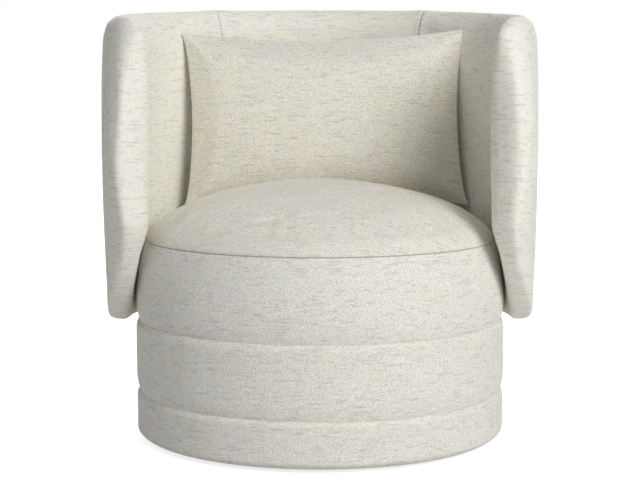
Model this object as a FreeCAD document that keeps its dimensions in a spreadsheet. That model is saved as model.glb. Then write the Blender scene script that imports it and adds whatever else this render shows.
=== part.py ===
"""Upholstered swivel chair: a channelled drum seat on a ball-bearing base, a wraparound back, a loose pillow.

Millimetres. The origin is on the swivel axis at the floor, +Z is up and the open front faces -Y.
"""
import FreeCAD, Part
import math
import os
import re

import Sketcher

# Driving dimensions: alias, value, what it is
SIZES = (
    ("gap", 0.3, "clearance between neighbouring pieces"),
    ("overrun", 20, "how far a cutting tool runs past what it cuts"),
    # Swivel base
    ("felt_thickness", 3, "felt disc under the plinth"),
    ("felt_inset", 10, "from the plinth's edge to the felt's edge"),
    ("plinth_inset", 58, "from the drum's rings to the plywood plinth's edge"),
    ("plinth_thickness", 24, "plywood plinth"),
    ("plinth_chamfer", 4, "upper edge of the plinth"),
    ("plate_radius", 165, "both steel swivel plates"),
    ("plate_thickness", 3, "both steel swivel plates"),
    ("track_radius", 125, "centre line of the ball track"),
    ("ball_radius", 4, "steel ball"),
    ("ball_sink", 1.5, "how deep a ball sits in each plate"),
    ("ball_play", 0.15, "running clearance round a ball"),
    ("ball_count", 6, "balls in the cage"),
    ("cage_width", 18, "radial width of the ball cage"),
    ("cage_thickness", 1.6, "ball cage"),
    ("pin_radius", 8, "shank of the centre pin"),
    ("pin_head_radius", 16, "head of the centre pin"),
    ("pin_head_thickness", 4, "head of the centre pin"),
    ("screw_circle", 85, "circle of the plinth screws"),
    ("screw_count", 4, "plinth screws"),
    ("screw_radius", 2.4, "shank of a plinth screw"),
    ("screw_length", 18, "plinth screw under its head"),
    ("screw_head_radius", 4.8, "plinth screw"),
    ("screw_head_thickness", 2.4, "plinth screw"),
    ("bolt_circle", 148, "circle of the plate bolts"),
    ("bolt_count", 4, "plate bolts"),
    ("bolt_radius", 4, "plate bolt"),
    ("bolt_head_radius", 8, "plate bolt"),
    ("bolt_head_thickness", 2.4, "plate bolt, low button head"),
    ("bolt_stand", 3, "bolt end above its nut"),
    ("nut_radius", 7.5, "corner radius of a hexagon nut"),
    ("nut_thickness", 6.5, "hexagon nut"),
    # Drum
    ("drum_radius", 298, "plywood rings and posts inside the drum"),
    ("board_thickness", 18, "drum base board and seat ring"),
    ("board_bore", 24, "hole in the base board over the pin"),
    ("dust_thickness", 0.8, "cloth ring under the base board"),
    ("dust_margin", 10, "from the steel plate's and the board's edge to the dust cloth"),
    ("post_size", 38, "square section of a drum post"),
    ("post_length", 234, "drum post"),
    ("post_count", 8, "drum posts"),
    ("seat_ring_width", 83, "radial width of the seat ring"),
    ("skin_thickness", 4, "bent plywood wall"),
    ("skin_bottom", 14, "lower edge of the bent wall above the floor"),
    ("drum_bottom", 8, "lowest edge of the drum above the floor"),
    ("lower_groove_height", 90, "lower pinched channel"),
    ("upper_groove_height", 220, "upper pinched channel"),
    ("seam_rise", 57, "seam round the seat above the seat ring"),
    ("groove_padding", 30.9, "band at a pinched channel"),
    ("bulge", 6, "how far a band stands out past its grooves"),
    ("upper_bulge", 3.5, "how far the tapered upper band stands out past its groove"),
    ("upper_bulge_rise", 32, "from the upper groove to the upper band's fullest place"),
    ("upper_taper_padding", 28.9, "upper band half way to the seat's seam"),
    ("upper_taper_drop", 53, "from the seat's seam down to that place"),
    ("hem_padding", 19.4, "lowest edge of the drum's cover"),
    ("hem_turn", 14, "height over which the lowest edge turns under"),
    ("seam_padding", 17.4, "seam round the seat"),
    # Seat
    ("strap_width", 50, "elastic webbing"),
    ("strap_thickness", 1.5, "elastic webbing"),
    ("strap_pitch", 80, "from strap to strap"),
    ("strap_count", 5, "straps each way"),
    ("strap_play", 0.2, "between straps where they cross"),
    ("strap_inset", 13, "from the seat ring's edge to the corners of a strap"),
    ("shoulder_padding", 10.4, "fullest place of the seat's rounded shoulder"),
    ("shoulder_rise", 22, "from the seam to the shoulder's fullest place"),
    ("crown_edge_inset", 7.6, "from the drum's wall to where the crown turns into its shoulder"),
    ("crown_edge_rise", 12, "from the shoulder's fullest place to that edge"),
    ("crown_rise", 72, "from that edge to the top of the crown"),
    ("core_edge_drop", 12, "firm core below the crown's edge"),
    ("core_edge_inset", 18, "firm core inside the crown's edge"),
    ("core_top_drop", 20, "firm core below the top of the crown"),
    ("core_top_radius", 60, "flat top of the firm core"),
    # Wraparound back
    ("wall_clearance", 1.7, "between the drum's fullest bands and the inner face of the back"),
    ("wall_swell", 8.2, "how far the inner face stands in above the seat"),
    ("wall_swell_drop", 20, "height below the seam where the inner face starts to swell"),
    ("wall_swell_height", 53, "from there to where the inner face is full"),
    ("wall_thickness", 64, "inner to outer face of the back"),
    ("wall_bottom", 212, "lower edge of the back above the floor"),
    ("wall_rise", 773.5, "height of the rim above the swivel axis"),
    ("rim_slope", 0.055, "rise of the rim for each unit towards the back"),
    ("front_lead", 17.1, "from the nose to the plane that the corner and the sweep start from"),
    ("wing_angle", 26.5, "degrees from the side axis to the centre of a wing's nose"),
    ("corner_bend_radius", 90, "wing's top corner"),
    ("sweep_height", 313, "from the lower edge to the top of the sweep"),
    ("sweep_lead", 55, "how much larger the sweep's radius is than its height"),
    ("rim_round_share", 0.42, "rounding of the edges as a share of the wall"),
    ("seam_inset", 56, "from the wing front to the edge roll's seam"),
    ("rim_seam_inset", 31, "from the rim and lower edge to the edge roll's seam"),
    ("panel_angle", 72, "degrees of the centre back panel"),
    # Back frame
    ("frame_cover", 19, "from the inner face of the back to its frame"),
    ("frame_thickness", 24, "rails, posts and stiles of the back"),
    ("frame_inset", 16, "from the rim and lower edge to the frame"),
    ("frame_front_inset", 30, "from the wing front to the frame"),
    ("stile_angle", 14, "degrees from the side axis where a wing stile starts"),
    ("lower_rail_height", 74, "bent rail"),
    ("middle_rail_middle", 486, "height of the middle rail's centre line"),
    ("middle_rail_height", 60, "bent rail"),
    ("top_rail_bottom", 664, "lower edge of the top rail"),
    ("back_post_width", 45, "upright between two rails"),
    ("back_post_count", 5, "uprights on each level"),
    ("back_post_angle", 36, "degrees between uprights"),
    ("tub_board_thickness", 2.5, "bent boards on both sides of the frame"),
    ("tub_board_foot", 4, "from the lower rail to the boards"),
    ("tub_board_lap", 34, "boards over the top rail"),
    # Fixings between back and drum
    ("back_bolt_height", 262, "height of the bolts"),
    ("back_bolt_count", 4, "bolts"),
    ("back_bolt_angle", 45, "degrees between bolts"),
    ("back_bolt_radius", 4, "bolt"),
    ("back_bolt_head_radius", 9, "bolt head"),
    ("back_bolt_head_thickness", 4, "bolt head"),
    ("spacer_radius", 12.5, "wooden spacer round a bolt"),
    # Pillow
    ("pillow_room", 67, "from a corner of the loose pillow out to the radius of the wings"),
    ("pillow_height", 342, "loose pillow, corner to corner"),
    ("pillow_depth", 136, "loose pillow at its middle"),
    ("pillow_edge", 7, "pillow where its two faces meet"),
    ("pillow_lean", 8, "degrees the pillow leans back"),
    ("pillow_sag", 18, "dip of the upper edge between the corners"),
    ("pillow_pinch", 20, "how far each side is drawn in between the corners"),
    ("seat_lift", 48, "rise of the lower edge over the crowned seat"),
    ("cover_thickness", 3, "pillow cover with its fibre wrap"),
)

# Worked-out places, each from the sizes and from the places before it
PLACES = (
    # Swivel base
    ("plinth_radius", "drum_radius - plinth_inset"),
    ("plinth_top", "felt_thickness + plinth_thickness"),
    ("lower_plate_top", "plinth_top + plate_thickness"),
    ("ball_height", "lower_plate_top + ball_radius - ball_sink"),
    ("upper_plate_bottom", "ball_height + ball_radius - ball_sink"),
    ("upper_plate_top", "upper_plate_bottom + plate_thickness"),
    ("ball_room", "ball_radius + ball_play"),
    ("track_half", "sqrt(ball_room ^ 2 - (ball_radius - ball_sink) ^ 2)"),
    ("track_inner", "track_radius - track_half"),
    ("track_outer", "track_radius + track_half"),
    ("lower_track_floor", "ball_height - ball_room"),
    ("upper_track_roof", "ball_height + ball_room"),
    ("cage_bottom", "ball_height - cage_thickness / 2"),
    ("cage_inner", "track_radius - cage_width / 2"),
    ("cage_outer", "track_radius + cage_width / 2"),
    ("pin_hole", "pin_radius + gap"),
    ("screw_hole", "screw_radius + gap"),
    ("bolt_hole", "bolt_radius + gap"),
    ("pin_head_bottom", "upper_plate_top + gap"),
    # Drum
    ("board_top", "upper_plate_top + board_thickness"),
    ("seat_ring_bottom", "board_top + post_length"),
    ("seat_ring_top", "seat_ring_bottom + board_thickness"),
    ("seat_ring_bore", "drum_radius - seat_ring_width"),
    ("seam_height", "seat_ring_top + seam_rise"),
    ("skin_inner", "drum_radius + gap"),
    ("skin_outer", "skin_inner + skin_thickness"),
    ("band_inner", "skin_outer + gap"),
    ("groove_radius", "band_inner + groove_padding"),
    ("upper_taper_radius", "band_inner + upper_taper_padding"),
    ("hem_radius", "band_inner + hem_padding"),
    ("seam_radius", "band_inner + seam_padding"),
    ("strap_reach", "drum_radius - strap_inset"),
    ("bulge_radius", "groove_radius + bulge"),
    ("lower_band_rise", "lower_groove_height - gap - drum_bottom - hem_turn"),
    ("lower_band_bend", "(bulge ^ 2 + lower_band_rise ^ 2) / (2 * bulge)"),
    ("middle_band_rise", "(upper_groove_height - gap - lower_groove_height) / 2"),
    ("middle_band_bend", "(bulge ^ 2 + middle_band_rise ^ 2) / (2 * bulge)"),
    ("upper_bulge_radius", "groove_radius + upper_bulge"),
    ("upper_bulge_height", "upper_groove_height + upper_bulge_rise"),
    ("upper_taper_height", "seam_height - upper_taper_drop"),
    ("upper_band_bend", "(upper_bulge ^ 2 + upper_bulge_rise ^ 2) / (2 * upper_bulge)"),
    ("dust_inner", "plate_radius + dust_margin"),
    ("dust_outer", "drum_radius - dust_margin"),
    ("dust_bottom", "upper_plate_top - dust_thickness"),
    # Seat
    ("core_bottom", "seat_ring_top + 2 * strap_thickness + strap_play + gap"),
    ("core_radius", "skin_outer"),
    ("shoulder_radius", "band_inner + shoulder_padding"),
    ("shoulder_height", "seam_height + shoulder_rise"),
    ("crown_edge_radius", "band_inner - crown_edge_inset"),
    ("crown_edge_height", "shoulder_height + crown_edge_rise"),
    ("crown_height", "crown_edge_height + crown_rise"),
    ("core_side_top", "seam_height - gap"),
    ("core_edge_radius", "crown_edge_radius - core_edge_inset"),
    ("core_edge_height", "crown_edge_height - core_edge_drop"),
    ("core_top", "crown_height - core_top_drop"),
    ("crown_bend", "(crown_edge_radius ^ 2 + crown_rise ^ 2) / (2 * crown_rise)"),
    # Wraparound back
    ("wall_inner_low", "bulge_radius + wall_clearance"),
    ("wall_inner", "wall_inner_low - wall_swell"),
    ("wall_outer", "wall_inner + wall_thickness"),
    ("wall_swell_low", "seam_height - wall_swell_drop"),
    ("wall_swell_high", "wall_swell_low + wall_swell_height"),
    ("wall_front", "(wall_inner + wall_outer) / 2 * sin(wing_angle * 1 deg)"
                   " + wall_thickness / 2 + front_lead"),
    ("sweep_bend_radius", "sweep_height + sweep_lead"),
    ("wall_top", "wall_rise + rim_slope * wall_outer"),
    ("wall_tool_low", "wall_bottom - overrun"),
    ("wall_tool_high", "wall_top + overrun"),
    ("wall_tool_outer", "wall_outer + overrun"),
    ("rim_round", "wall_thickness * rim_round_share"),
    ("frame_inner", "wall_inner + frame_cover"),
    ("frame_outer", "frame_inner + frame_thickness"),
    ("pocket_inner", "frame_inner - gap"),
    ("pocket_outer", "frame_outer + gap"),
    ("lower_rail_top", "wall_bottom + frame_inset + lower_rail_height"),
    ("middle_rail_bottom", "middle_rail_middle - middle_rail_height / 2"),
    ("middle_rail_top", "middle_rail_middle + middle_rail_height / 2"),
    ("tub_board_bottom", "lower_rail_top + tub_board_foot"),
    ("tub_board_height", "top_rail_bottom + tub_board_lap - tub_board_bottom"),
    ("rail_arc", "180 + 2 * stile_angle"),
    ("inner_board_outer", "frame_inner - gap"),
    ("inner_board_inner", "inner_board_outer - tub_board_thickness"),
    ("outer_board_inner", "frame_outer + gap"),
    ("outer_board_outer", "outer_board_inner + tub_board_thickness"),
    ("pad_backing", "inner_board_inner - gap"),
    ("panel_backing", "outer_board_outer + gap"),
    ("wing_arc", "90 + wing_angle + stile_angle - panel_angle / 2"),
    ("panel_gap_angle", "gap / wall_inner * 180 / pi"),
    # Fixings between back and drum
    ("back_bolt_hole", "back_bolt_radius + gap"),
    ("spacer_hole", "spacer_radius + gap"),
    ("spacer_end", "frame_inner - gap"),
    ("back_bolt_start", "drum_radius - back_bolt_head_thickness"),
    # Pillow, leaning back with its upper corners on the wing pads and its lower edge on the seat
    ("pillow_width", "2 * (wall_inner - pillow_room)"),
    ("pillow_back", "sqrt((wall_inner - gap) ^ 2 - pillow_width ^ 2 / 4)"
                    " - pillow_height / 2 * sin(pillow_lean * 1 deg)"
                    " - pillow_edge / 2 * cos(pillow_lean * 1 deg)"),
    ("pillow_foot", "pillow_height / 2 - seat_lift"),
    ("pillow_rest", "pillow_back - pillow_foot * sin(pillow_lean * 1 deg)"
                    " - pillow_edge / 2 * cos(pillow_lean * 1 deg)"),
    ("pillow_rest_height", "crown_height - crown_bend + sqrt(crown_bend ^ 2 - pillow_rest ^ 2)"),
    ("pillow_middle", "pillow_rest_height + gap + pillow_foot * cos(pillow_lean * 1 deg)"
                      " - pillow_edge / 2 * sin(pillow_lean * 1 deg)"),
)

# Side outlines of the back, each set in from the edge: name, inset of the front, inset of rim and lower edge
SIDE_OUTLINES = (
    ("form", "0", "0"),
    ("frame", "frame_front_inset", "frame_inset"),
    ("pocket", "frame_front_inset - gap", "frame_inset - gap"),
    ("seam", "seam_inset", "rim_seam_inset"),
    ("panel", "seam_inset + gap", "rim_seam_inset + gap"),
)

# Levels of the pillow's sections as shares of its half height, and how fast its faces fill out
PILLOW_LEVEL_SHARES = (-1.0, -0.96, -0.86, -0.68, -0.42, -0.14, 0.14, 0.42, 0.68, 0.86, 0.96, 1.0)
PILLOW_PUFF_SHARE = 0.72

# Where a face's normal is probed, as shares of its range, and what counts as no slope at all
PROBE_SHARES = (0.1, 0.9)
NEARLY_NONE = 1e-6

UP = FreeCAD.Vector(0, 0, 1)
CENTRE = FreeCAD.Vector(0, 0, 0)

doc = FreeCAD.newDocument("SwivelChair")
homes = {}
parts = {}


def with_sheets(text, inside=""):
    """Put the sheet's name before every alias in an expression, but not inside that same sheet."""
    def named(word):
        home = homes.get(word.group(), "")
        return word.group() if home == inside else home + word.group()

    return re.sub(r"[a-z]\w+", named, text)


def side_places(name, front_inset, edge_inset):
    """Formulas for the corners of one side outline of the back, in its Y and Z."""
    front = f"{name}_front"
    lean = "atan(rim_slope) / 1 deg"
    return (
        (front, f"wall_front - ({front_inset})"),
        (f"{name}_low", f"wall_bottom + ({edge_inset})"),
        (f"{name}_rise", f"wall_rise - ({edge_inset})"),
        (f"{name}_bend", f"corner_bend_radius - ({edge_inset})"),
        (f"{name}_sweep", f"sweep_bend_radius - ({front_inset})"),
        (f"{name}_sweep_top", "wall_bottom + sweep_height"),
        (f"{name}_back", "wall_outer + overrun"),
        (f"{name}_fore", f"-{front}"),
        (f"{name}_tangent", f"{name}_bend * tan((90 - {lean}) / 2 * 1 deg)"),
        (f"{name}_corner_low", f"{name}_rise - rim_slope * {front} - {name}_tangent"),
        (f"{name}_corner_y", f"{name}_tangent * cos({lean} * 1 deg) - {front}"),
        (f"{name}_corner_high", f"{name}_rise + rim_slope * {name}_corner_y"),
        (f"{name}_back_high", f"{name}_rise + rim_slope * {name}_back"),
        (f"{name}_sweep_y", f"{name}_sweep - {front}"
                            f" - sqrt({name}_sweep ^ 2 - ({name}_sweep_top - {name}_low) ^ 2)"),
    )


def plan_places(name, inner, outer):
    """Formulas for the corners of one horseshoe plan of the back, in X and Y."""
    middle = f"({inner} + {outer}) / 2"
    half = f"({outer} - {inner}) / 2"
    return (
        (f"{name}_inner_x", f"{inner} * cos(wing_angle * 1 deg)"),
        (f"{name}_inner_y", f"-{inner} * sin(wing_angle * 1 deg)"),
        (f"{name}_outer_x", f"{outer} * cos(wing_angle * 1 deg)"),
        (f"{name}_outer_y", f"-{outer} * sin(wing_angle * 1 deg)"),
        (f"{name}_tip_x", f"{middle} * cos(wing_angle * 1 deg) - {half} * sin(wing_angle * 1 deg)"),
        (f"{name}_tip_y", f"-{middle} * sin(wing_angle * 1 deg) - {half} * cos(wing_angle * 1 deg)"),
        (f"{name}_nose", half),
    )


def fill_sheets():
    """Write the two sheets: driving sizes as plain numbers, and the places worked out from them."""
    sizes = doc.addObject("Spreadsheet::Sheet", "Sizes")
    for row, (alias, amount, note) in enumerate(SIZES, start=1):
        sizes.set(f"A{row}", str(amount))
        sizes.setAlias(f"A{row}", alias)
        sizes.set(f"B{row}", note)
        homes[alias] = "Sizes."
    doc.recompute()
    places = doc.addObject("Spreadsheet::Sheet", "Places")
    formulas = list(PLACES)
    for name, front_inset, edge_inset in SIDE_OUTLINES:
        formulas.extend(side_places(name, front_inset, edge_inset))
    for name, inner, outer in (("form", "wall_inner", "wall_outer"), ("frame", "frame_inner", "frame_outer"),
                               ("pocket", "pocket_inner", "pocket_outer")):
        formulas.extend(plan_places(name, inner, outer))
    for row, (alias, formula) in enumerate(formulas, start=1):
        places.set(f"A{row}", "=" + with_sheets(formula, inside="Places."))
        places.setAlias(f"A{row}", alias)
        homes[alias] = "Places."
    doc.recompute()
    return {"Sizes.": sizes, "Places.": places}


sheets = fill_sheets()


def value(text):
    """The number of a sum or difference of aliases."""
    total = 0.0
    for sign, word in re.findall(r"([+-]?)\s*([a-z_]\w*)", text):
        amount = float(sheets[homes[word]].get(word))
        total += -amount if sign == "-" else amount
    return total


def bind(thing, **rules):
    """Bind properties to expressions; a double underscore in a name stands for a dot."""
    for name, text in rules.items():
        if text != "0":
            thing.setExpression(name.replace("__", "."), with_sheets(text))
    return thing


def keep(label, thing):
    """Name a finished sub-part."""
    thing.Label = label
    parts[label] = thing
    return thing


def arc_centre(start, end, radius, side):
    """Centre of an arc of under a half circle; side +1 puts it to the left of the run."""
    chord = end - start
    middle = (start + end) / 2
    reach = math.sqrt(max(radius ** 2 - chord.Length ** 2 / 4, 0))
    return middle + side * reach * FreeCAD.Vector(-chord.y, chord.x, 0).normalize()


def end_numbers(corner):
    """The numbers of a curve's first and last point along the loop: an arc to the right runs backwards."""
    return (2, 1) if len(corner) > 2 and corner[3] < 0 else (1, 2)


def draw_loop(sketch, corners):
    """Draw one closed loop. A corner is (x, y), or (x, y, radius, side) where an arc leaves it."""
    spots = [FreeCAD.Vector(value(corner[0]), value(corner[1]), 0) for corner in corners]
    total = len(corners)
    for index, corner in enumerate(corners):
        start = spots[index]
        end = spots[(index + 1) % total]
        if len(corner) == 2:
            sketch.addGeometry(Part.LineSegment(start, end), False)
            continue
        side = corner[3]
        centre = arc_centre(start, end, value(corner[2]), side)
        low, high = (start, end) if side > 0 else (end, start)
        turns = [math.atan2(spot.y - centre.y, spot.x - centre.x) for spot in (low, high)]
        circle = Part.Circle(centre, UP, (start - centre).Length)
        sketch.addGeometry(Part.ArcOfCircle(circle, *turns), False)
    ends = [end_numbers(corner) for corner in corners]
    for here, corner in enumerate(corners):
        after = (here + 1) % total
        sketch.addConstraint(Sketcher.Constraint("Coincident", here, ends[here][1], after, ends[after][0]))
        for kind, text, amount in (("DistanceX", corner[0], spots[here].x),
                                   ("DistanceY", corner[1], spots[here].y)):
            number = sketch.addConstraint(Sketcher.Constraint(kind, -1, 1, here, ends[here][0], amount))
            if text != "0":
                sketch.setExpression(f"Constraints[{number}]", with_sheets(text))
        if len(corner) > 2:
            number = sketch.addConstraint(Sketcher.Constraint("Radius", here, value(corner[2])))
            sketch.setExpression(f"Constraints[{number}]", with_sheets(corner[2]))


def new_sketch(body, name, plane, loop):
    """A sketch of one closed loop on one of the body's own origin planes."""
    sketch = body.newObject("Sketcher::SketchObject", name)
    origin = [feature for feature in body.Origin.OriginFeatures if feature.Role == plane][0]
    sketch.AttachmentSupport = [(origin, "")]
    sketch.MapMode = "FlatFace"
    draw_loop(sketch, loop)
    doc.recompute()
    return sketch


def spin(body, name, sketch):
    """Revolve a sketch once round the swivel axis."""
    feature = body.newObject("PartDesign::Revolution", name)
    feature.Profile = sketch
    feature.ReferenceAxis = (sketch, ["V_Axis"])
    feature.Angle = 360.0
    doc.recompute()


def lathe(name, loop):
    """A body turned from a closed section in the XZ plane."""
    body = doc.addObject("PartDesign::Body", name)
    spin(body, f"{name}Turn", new_sketch(body, f"{name}Section", "XZ_Plane", loop))
    return body


def cylinder(name, radius, bottom, height, arc=None, start=None):
    """A cylinder or a sector of one, on the swivel axis."""
    thing = bind(doc.addObject("Part::Cylinder", name), Radius=radius, Height=height)
    bind(thing, Placement__Base__z=bottom)
    if arc:
        bind(thing, Angle=arc)
        thing.Placement.Rotation = FreeCAD.Rotation(UP, 0)
        bind(thing, Placement__Rotation__Angle=start)
    return thing


def cut(name, base, tool):
    """What is left of the base outside the tool."""
    thing = doc.addObject("Part::Cut", name)
    thing.Base = base
    thing.Tool = tool
    return thing


def common(name, *things):
    """What all the things share."""
    thing = doc.addObject("Part::MultiCommon", name)
    thing.Shapes = list(things)
    return thing


def tube(name, inner, outer, bottom, height, arc=None, start=None):
    """A ring, or a sector of one, on the swivel axis."""
    return cut(name, cylinder(f"{name}_outside", outer, bottom, height, arc, start),
               cylinder(f"{name}_bore", inner, f"{bottom} - overrun", f"{height} + 2 * overrun"))


def solid_group(name, shapes):
    """Like solids that are fixed or carried alike, as one sub-part."""
    thing = doc.addObject("Part::Feature", name)
    shapes = list(shapes)
    thing.Shape = shapes[0] if len(shapes) == 1 else Part.makeCompound(shapes)
    return thing


def polar(name, shape, count, step=None, start=0.0):
    """Copies of a shape round the swivel axis."""
    step = step or 360.0 / count
    return solid_group(name, (shape.rotated(CENTRE, UP, start + step * index) for index in range(count)))


def turned(axis_x, low, outline):
    """A small turned piece on an upright axis: its outline is (radius, height) pairs from the axis."""
    points = [FreeCAD.Vector(radius, 0, height) for radius, height in outline]
    face = Part.Face(Part.makePolygon(points + points[:1]))
    piece = face.revolve(CENTRE, UP, 360)
    return piece.translated(FreeCAD.Vector(axis_x, 0, low))


def radial_rod(radius, near, far, height):
    """A round bar along +X, from one radius to another."""
    return Part.makeCylinder(value(radius), value(far) - value(near),
                             FreeCAD.Vector(value(near), 0, value(height)), FreeCAD.Vector(1, 0, 0))


def bolt_start():
    """The angle of the first bolt of the back, so that the row is centred on the back."""
    return 90 - value("back_bolt_angle") * (value("back_bolt_count") - 1) / 2


def back_row(name, shape):
    """Copies of a shape at every bolt of the back."""
    return polar(name, shape, int(value("back_bolt_count")), value("back_bolt_angle"), bolt_start())


def upright_holes(name, circle, radius, bottom, height, count):
    """A ring of upright hole tools."""
    hole = Part.makeCylinder(value(radius), value(height) + value("overrun") * 2,
                             FreeCAD.Vector(value(circle), 0, value(bottom) - value("overrun")))
    return polar(name, hole, int(value(count)))


# Swivel base
def build_base():
    """Felt, plinth, lower plate, its screws and the centre pin."""
    keep("floor_felt", cylinder("FloorFelt", "plinth_radius - felt_inset", "0", "felt_thickness"))
    plinth = lathe("Plinth", (
        ("0", "felt_thickness"),
        ("plinth_radius", "felt_thickness"),
        ("plinth_radius", "plinth_top - plinth_chamfer"),
        ("plinth_radius - plinth_chamfer", "plinth_top"),
        ("0", "plinth_top"),
    ))
    pilots = upright_holes("PlinthPilots", "screw_circle", "screw_hole",
                           "lower_plate_top - screw_length + overrun", "plate_thickness", "screw_count")
    keep("plinth_board", cut("PlinthBoard", plinth, pilots))
    plate = lathe("LowerPlate", (
        ("pin_radius", "plinth_top"),
        ("plate_radius", "plinth_top"),
        ("plate_radius", "lower_plate_top"),
        ("track_outer", "lower_plate_top"),
        ("track_outer", "lower_track_floor"),
        ("track_inner", "lower_track_floor"),
        ("track_inner", "lower_plate_top"),
        ("pin_radius", "lower_plate_top"),
    ))
    through = upright_holes("LowerPlateHoles", "screw_circle", "screw_hole", "plinth_top",
                            "plate_thickness", "screw_count")
    keep("lower_swivel_plate", cut("LowerSwivelPlate", plate, through))
    head = value("screw_head_radius")
    shank = value("screw_radius")
    length = value("screw_length")
    screw = turned(value("screw_circle"), value("lower_plate_top"), (
        (0, -length),
        (shank, -length),
        (shank, 0),
        (head, 0),
        (head, value("screw_head_thickness")),
        (0, value("screw_head_thickness")),
    ))
    keep("plinth_screws", polar("PlinthScrews", screw, int(value("screw_count"))))
    keep("swivel_pin", lathe("SwivelPin", (
        ("0", "plinth_top"),
        ("pin_radius", "plinth_top"),
        ("pin_radius", "pin_head_bottom"),
        ("pin_head_radius", "pin_head_bottom"),
        ("pin_head_radius", "pin_head_bottom + pin_head_thickness"),
        ("0", "pin_head_bottom + pin_head_thickness"),
    )))


def build_bearing():
    """The caged balls that run between the two plates."""
    count = int(value("ball_count"))
    spot = FreeCAD.Vector(value("track_radius"), 0, value("ball_height"))
    ring = tube("CageRing", "cage_inner", "cage_outer", "cage_bottom", "cage_thickness")
    windows = upright_holes("CageWindows", "track_radius", "ball_room", "cage_bottom",
                            "cage_thickness", "ball_count")
    keep("ball_cage", cut("BallCage", ring, windows))
    ball = Part.makeSphere(value("ball_radius"), spot)
    keep("bearing_balls", polar("BearingBalls", ball, count))


# Drum seat
def build_drum_frame():
    """Upper plate, its bolts, the plywood rings, posts, bent wall and dust cover."""
    plate = lathe("UpperPlate", (
        ("pin_hole", "upper_plate_bottom"),
        ("track_inner", "upper_plate_bottom"),
        ("track_inner", "upper_track_roof"),
        ("track_outer", "upper_track_roof"),
        ("track_outer", "upper_plate_bottom"),
        ("plate_radius", "upper_plate_bottom"),
        ("plate_radius", "upper_plate_top"),
        ("pin_hole", "upper_plate_top"),
    ))
    holes = upright_holes("PlateBoltHoles", "bolt_circle", "bolt_hole", "upper_plate_bottom",
                          "plate_thickness + board_thickness", "bolt_count")
    keep("upper_swivel_plate", cut("UpperSwivelPlate", plate, holes))
    board = tube("BaseDisc", "board_bore", "drum_radius", "upper_plate_top", "board_thickness")
    keep("drum_base_board", cut("DrumBaseBoard", board, holes))
    head = value("bolt_head_radius")
    shank = value("bolt_radius")
    length = value("plate_thickness + board_thickness + nut_thickness + bolt_stand")
    bolt = turned(value("bolt_circle"), value("upper_plate_bottom"), (
        (0, -value("bolt_head_thickness")),
        (head, -value("bolt_head_thickness")),
        (head, 0),
        (shank, 0),
        (shank, length),
        (0, length),
    ))
    keep("plate_bolts", polar("PlateBolts", bolt, int(value("bolt_count"))))
    spot = FreeCAD.Vector(value("bolt_circle"), 0, value("board_top"))
    corner = FreeCAD.Vector(value("nut_radius"), 0, 0)
    hexagon = [spot + FreeCAD.Rotation(UP, angle) * corner for angle in range(0, 361, 60)]
    nut = Part.Face(Part.makePolygon(hexagon)).extrude(UP * value("nut_thickness"))
    nut = nut.cut(Part.makeCylinder(value("bolt_hole"), value("nut_thickness"), spot))
    keep("plate_nuts", polar("PlateNuts", nut, int(value("bolt_count"))))
    keep("dust_cover", tube("DustCover", "dust_inner", "dust_outer", "dust_bottom", "dust_thickness"))
    size = value("post_size")
    inset = math.sqrt(value("drum_radius") ** 2 - size ** 2 / 4) - size
    corner = FreeCAD.Vector(inset, -size / 2, value("board_top"))
    post = Part.makeBox(size, size, value("post_length"), corner)
    count = int(value("post_count"))
    keep("drum_posts", polar("DrumPosts", post, count))
    keep("seat_ring", tube("SeatRing", "seat_ring_bore", "drum_radius", "seat_ring_bottom",
                           "board_thickness"))
    wall = tube("BentWall", "skin_inner", "skin_outer", "skin_bottom", "seat_ring_top - skin_bottom")
    keep("drum_skin", cut("DrumSkin", wall, bolt_holes))


def build_bands():
    """The three stuffed fabric channels round the drum."""
    keep("lower_band", lathe("LowerBand", (
        ("band_inner", "drum_bottom"),
        ("hem_radius", "drum_bottom"),
        ("bulge_radius", "drum_bottom + hem_turn", "lower_band_bend", 1),
        ("groove_radius", "lower_groove_height - gap"),
        ("band_inner", "lower_groove_height - gap"),
    )))
    keep("middle_band", lathe("MiddleBand", (
        ("band_inner", "lower_groove_height"),
        ("groove_radius", "lower_groove_height", "middle_band_bend", 1),
        ("groove_radius", "upper_groove_height - gap"),
        ("band_inner", "upper_groove_height - gap"),
    )))
    upper = lathe("UpperBandRing", (
        ("band_inner", "upper_groove_height"),
        ("groove_radius", "upper_groove_height", "upper_band_bend", 1),
        ("upper_bulge_radius", "upper_bulge_height"),
        ("upper_taper_radius", "upper_taper_height"),
        ("seam_radius", "seam_height"),
        ("band_inner", "seam_height"),
    ))
    keep("upper_band", cut("UpperBand", upper, spacer_holes))


def strap(places, width, length, middle, first_over):
    """One elastic strap along +X, over and under the straps that cross it, as an extruded section."""
    rise = value("strap_thickness") + value("strap_play")
    half = width / 2
    knots = [(-length, 0.0)]
    for index, place in enumerate(places):
        level = rise if (index % 2 == 0) == first_over else 0.0
        knots.extend(((place - half, level), (place + half, level)))
    knots.append((length, 0.0))
    base = value("seat_ring_top")
    lower = [FreeCAD.Vector(x, middle - half, base + level) for x, level in knots]
    upper = [spot + UP * value("strap_thickness") for spot in reversed(lower)]
    outline = lower + upper
    return Part.Face(Part.makePolygon(outline + outline[:1])).extrude(FreeCAD.Vector(0, width, 0))


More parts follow.
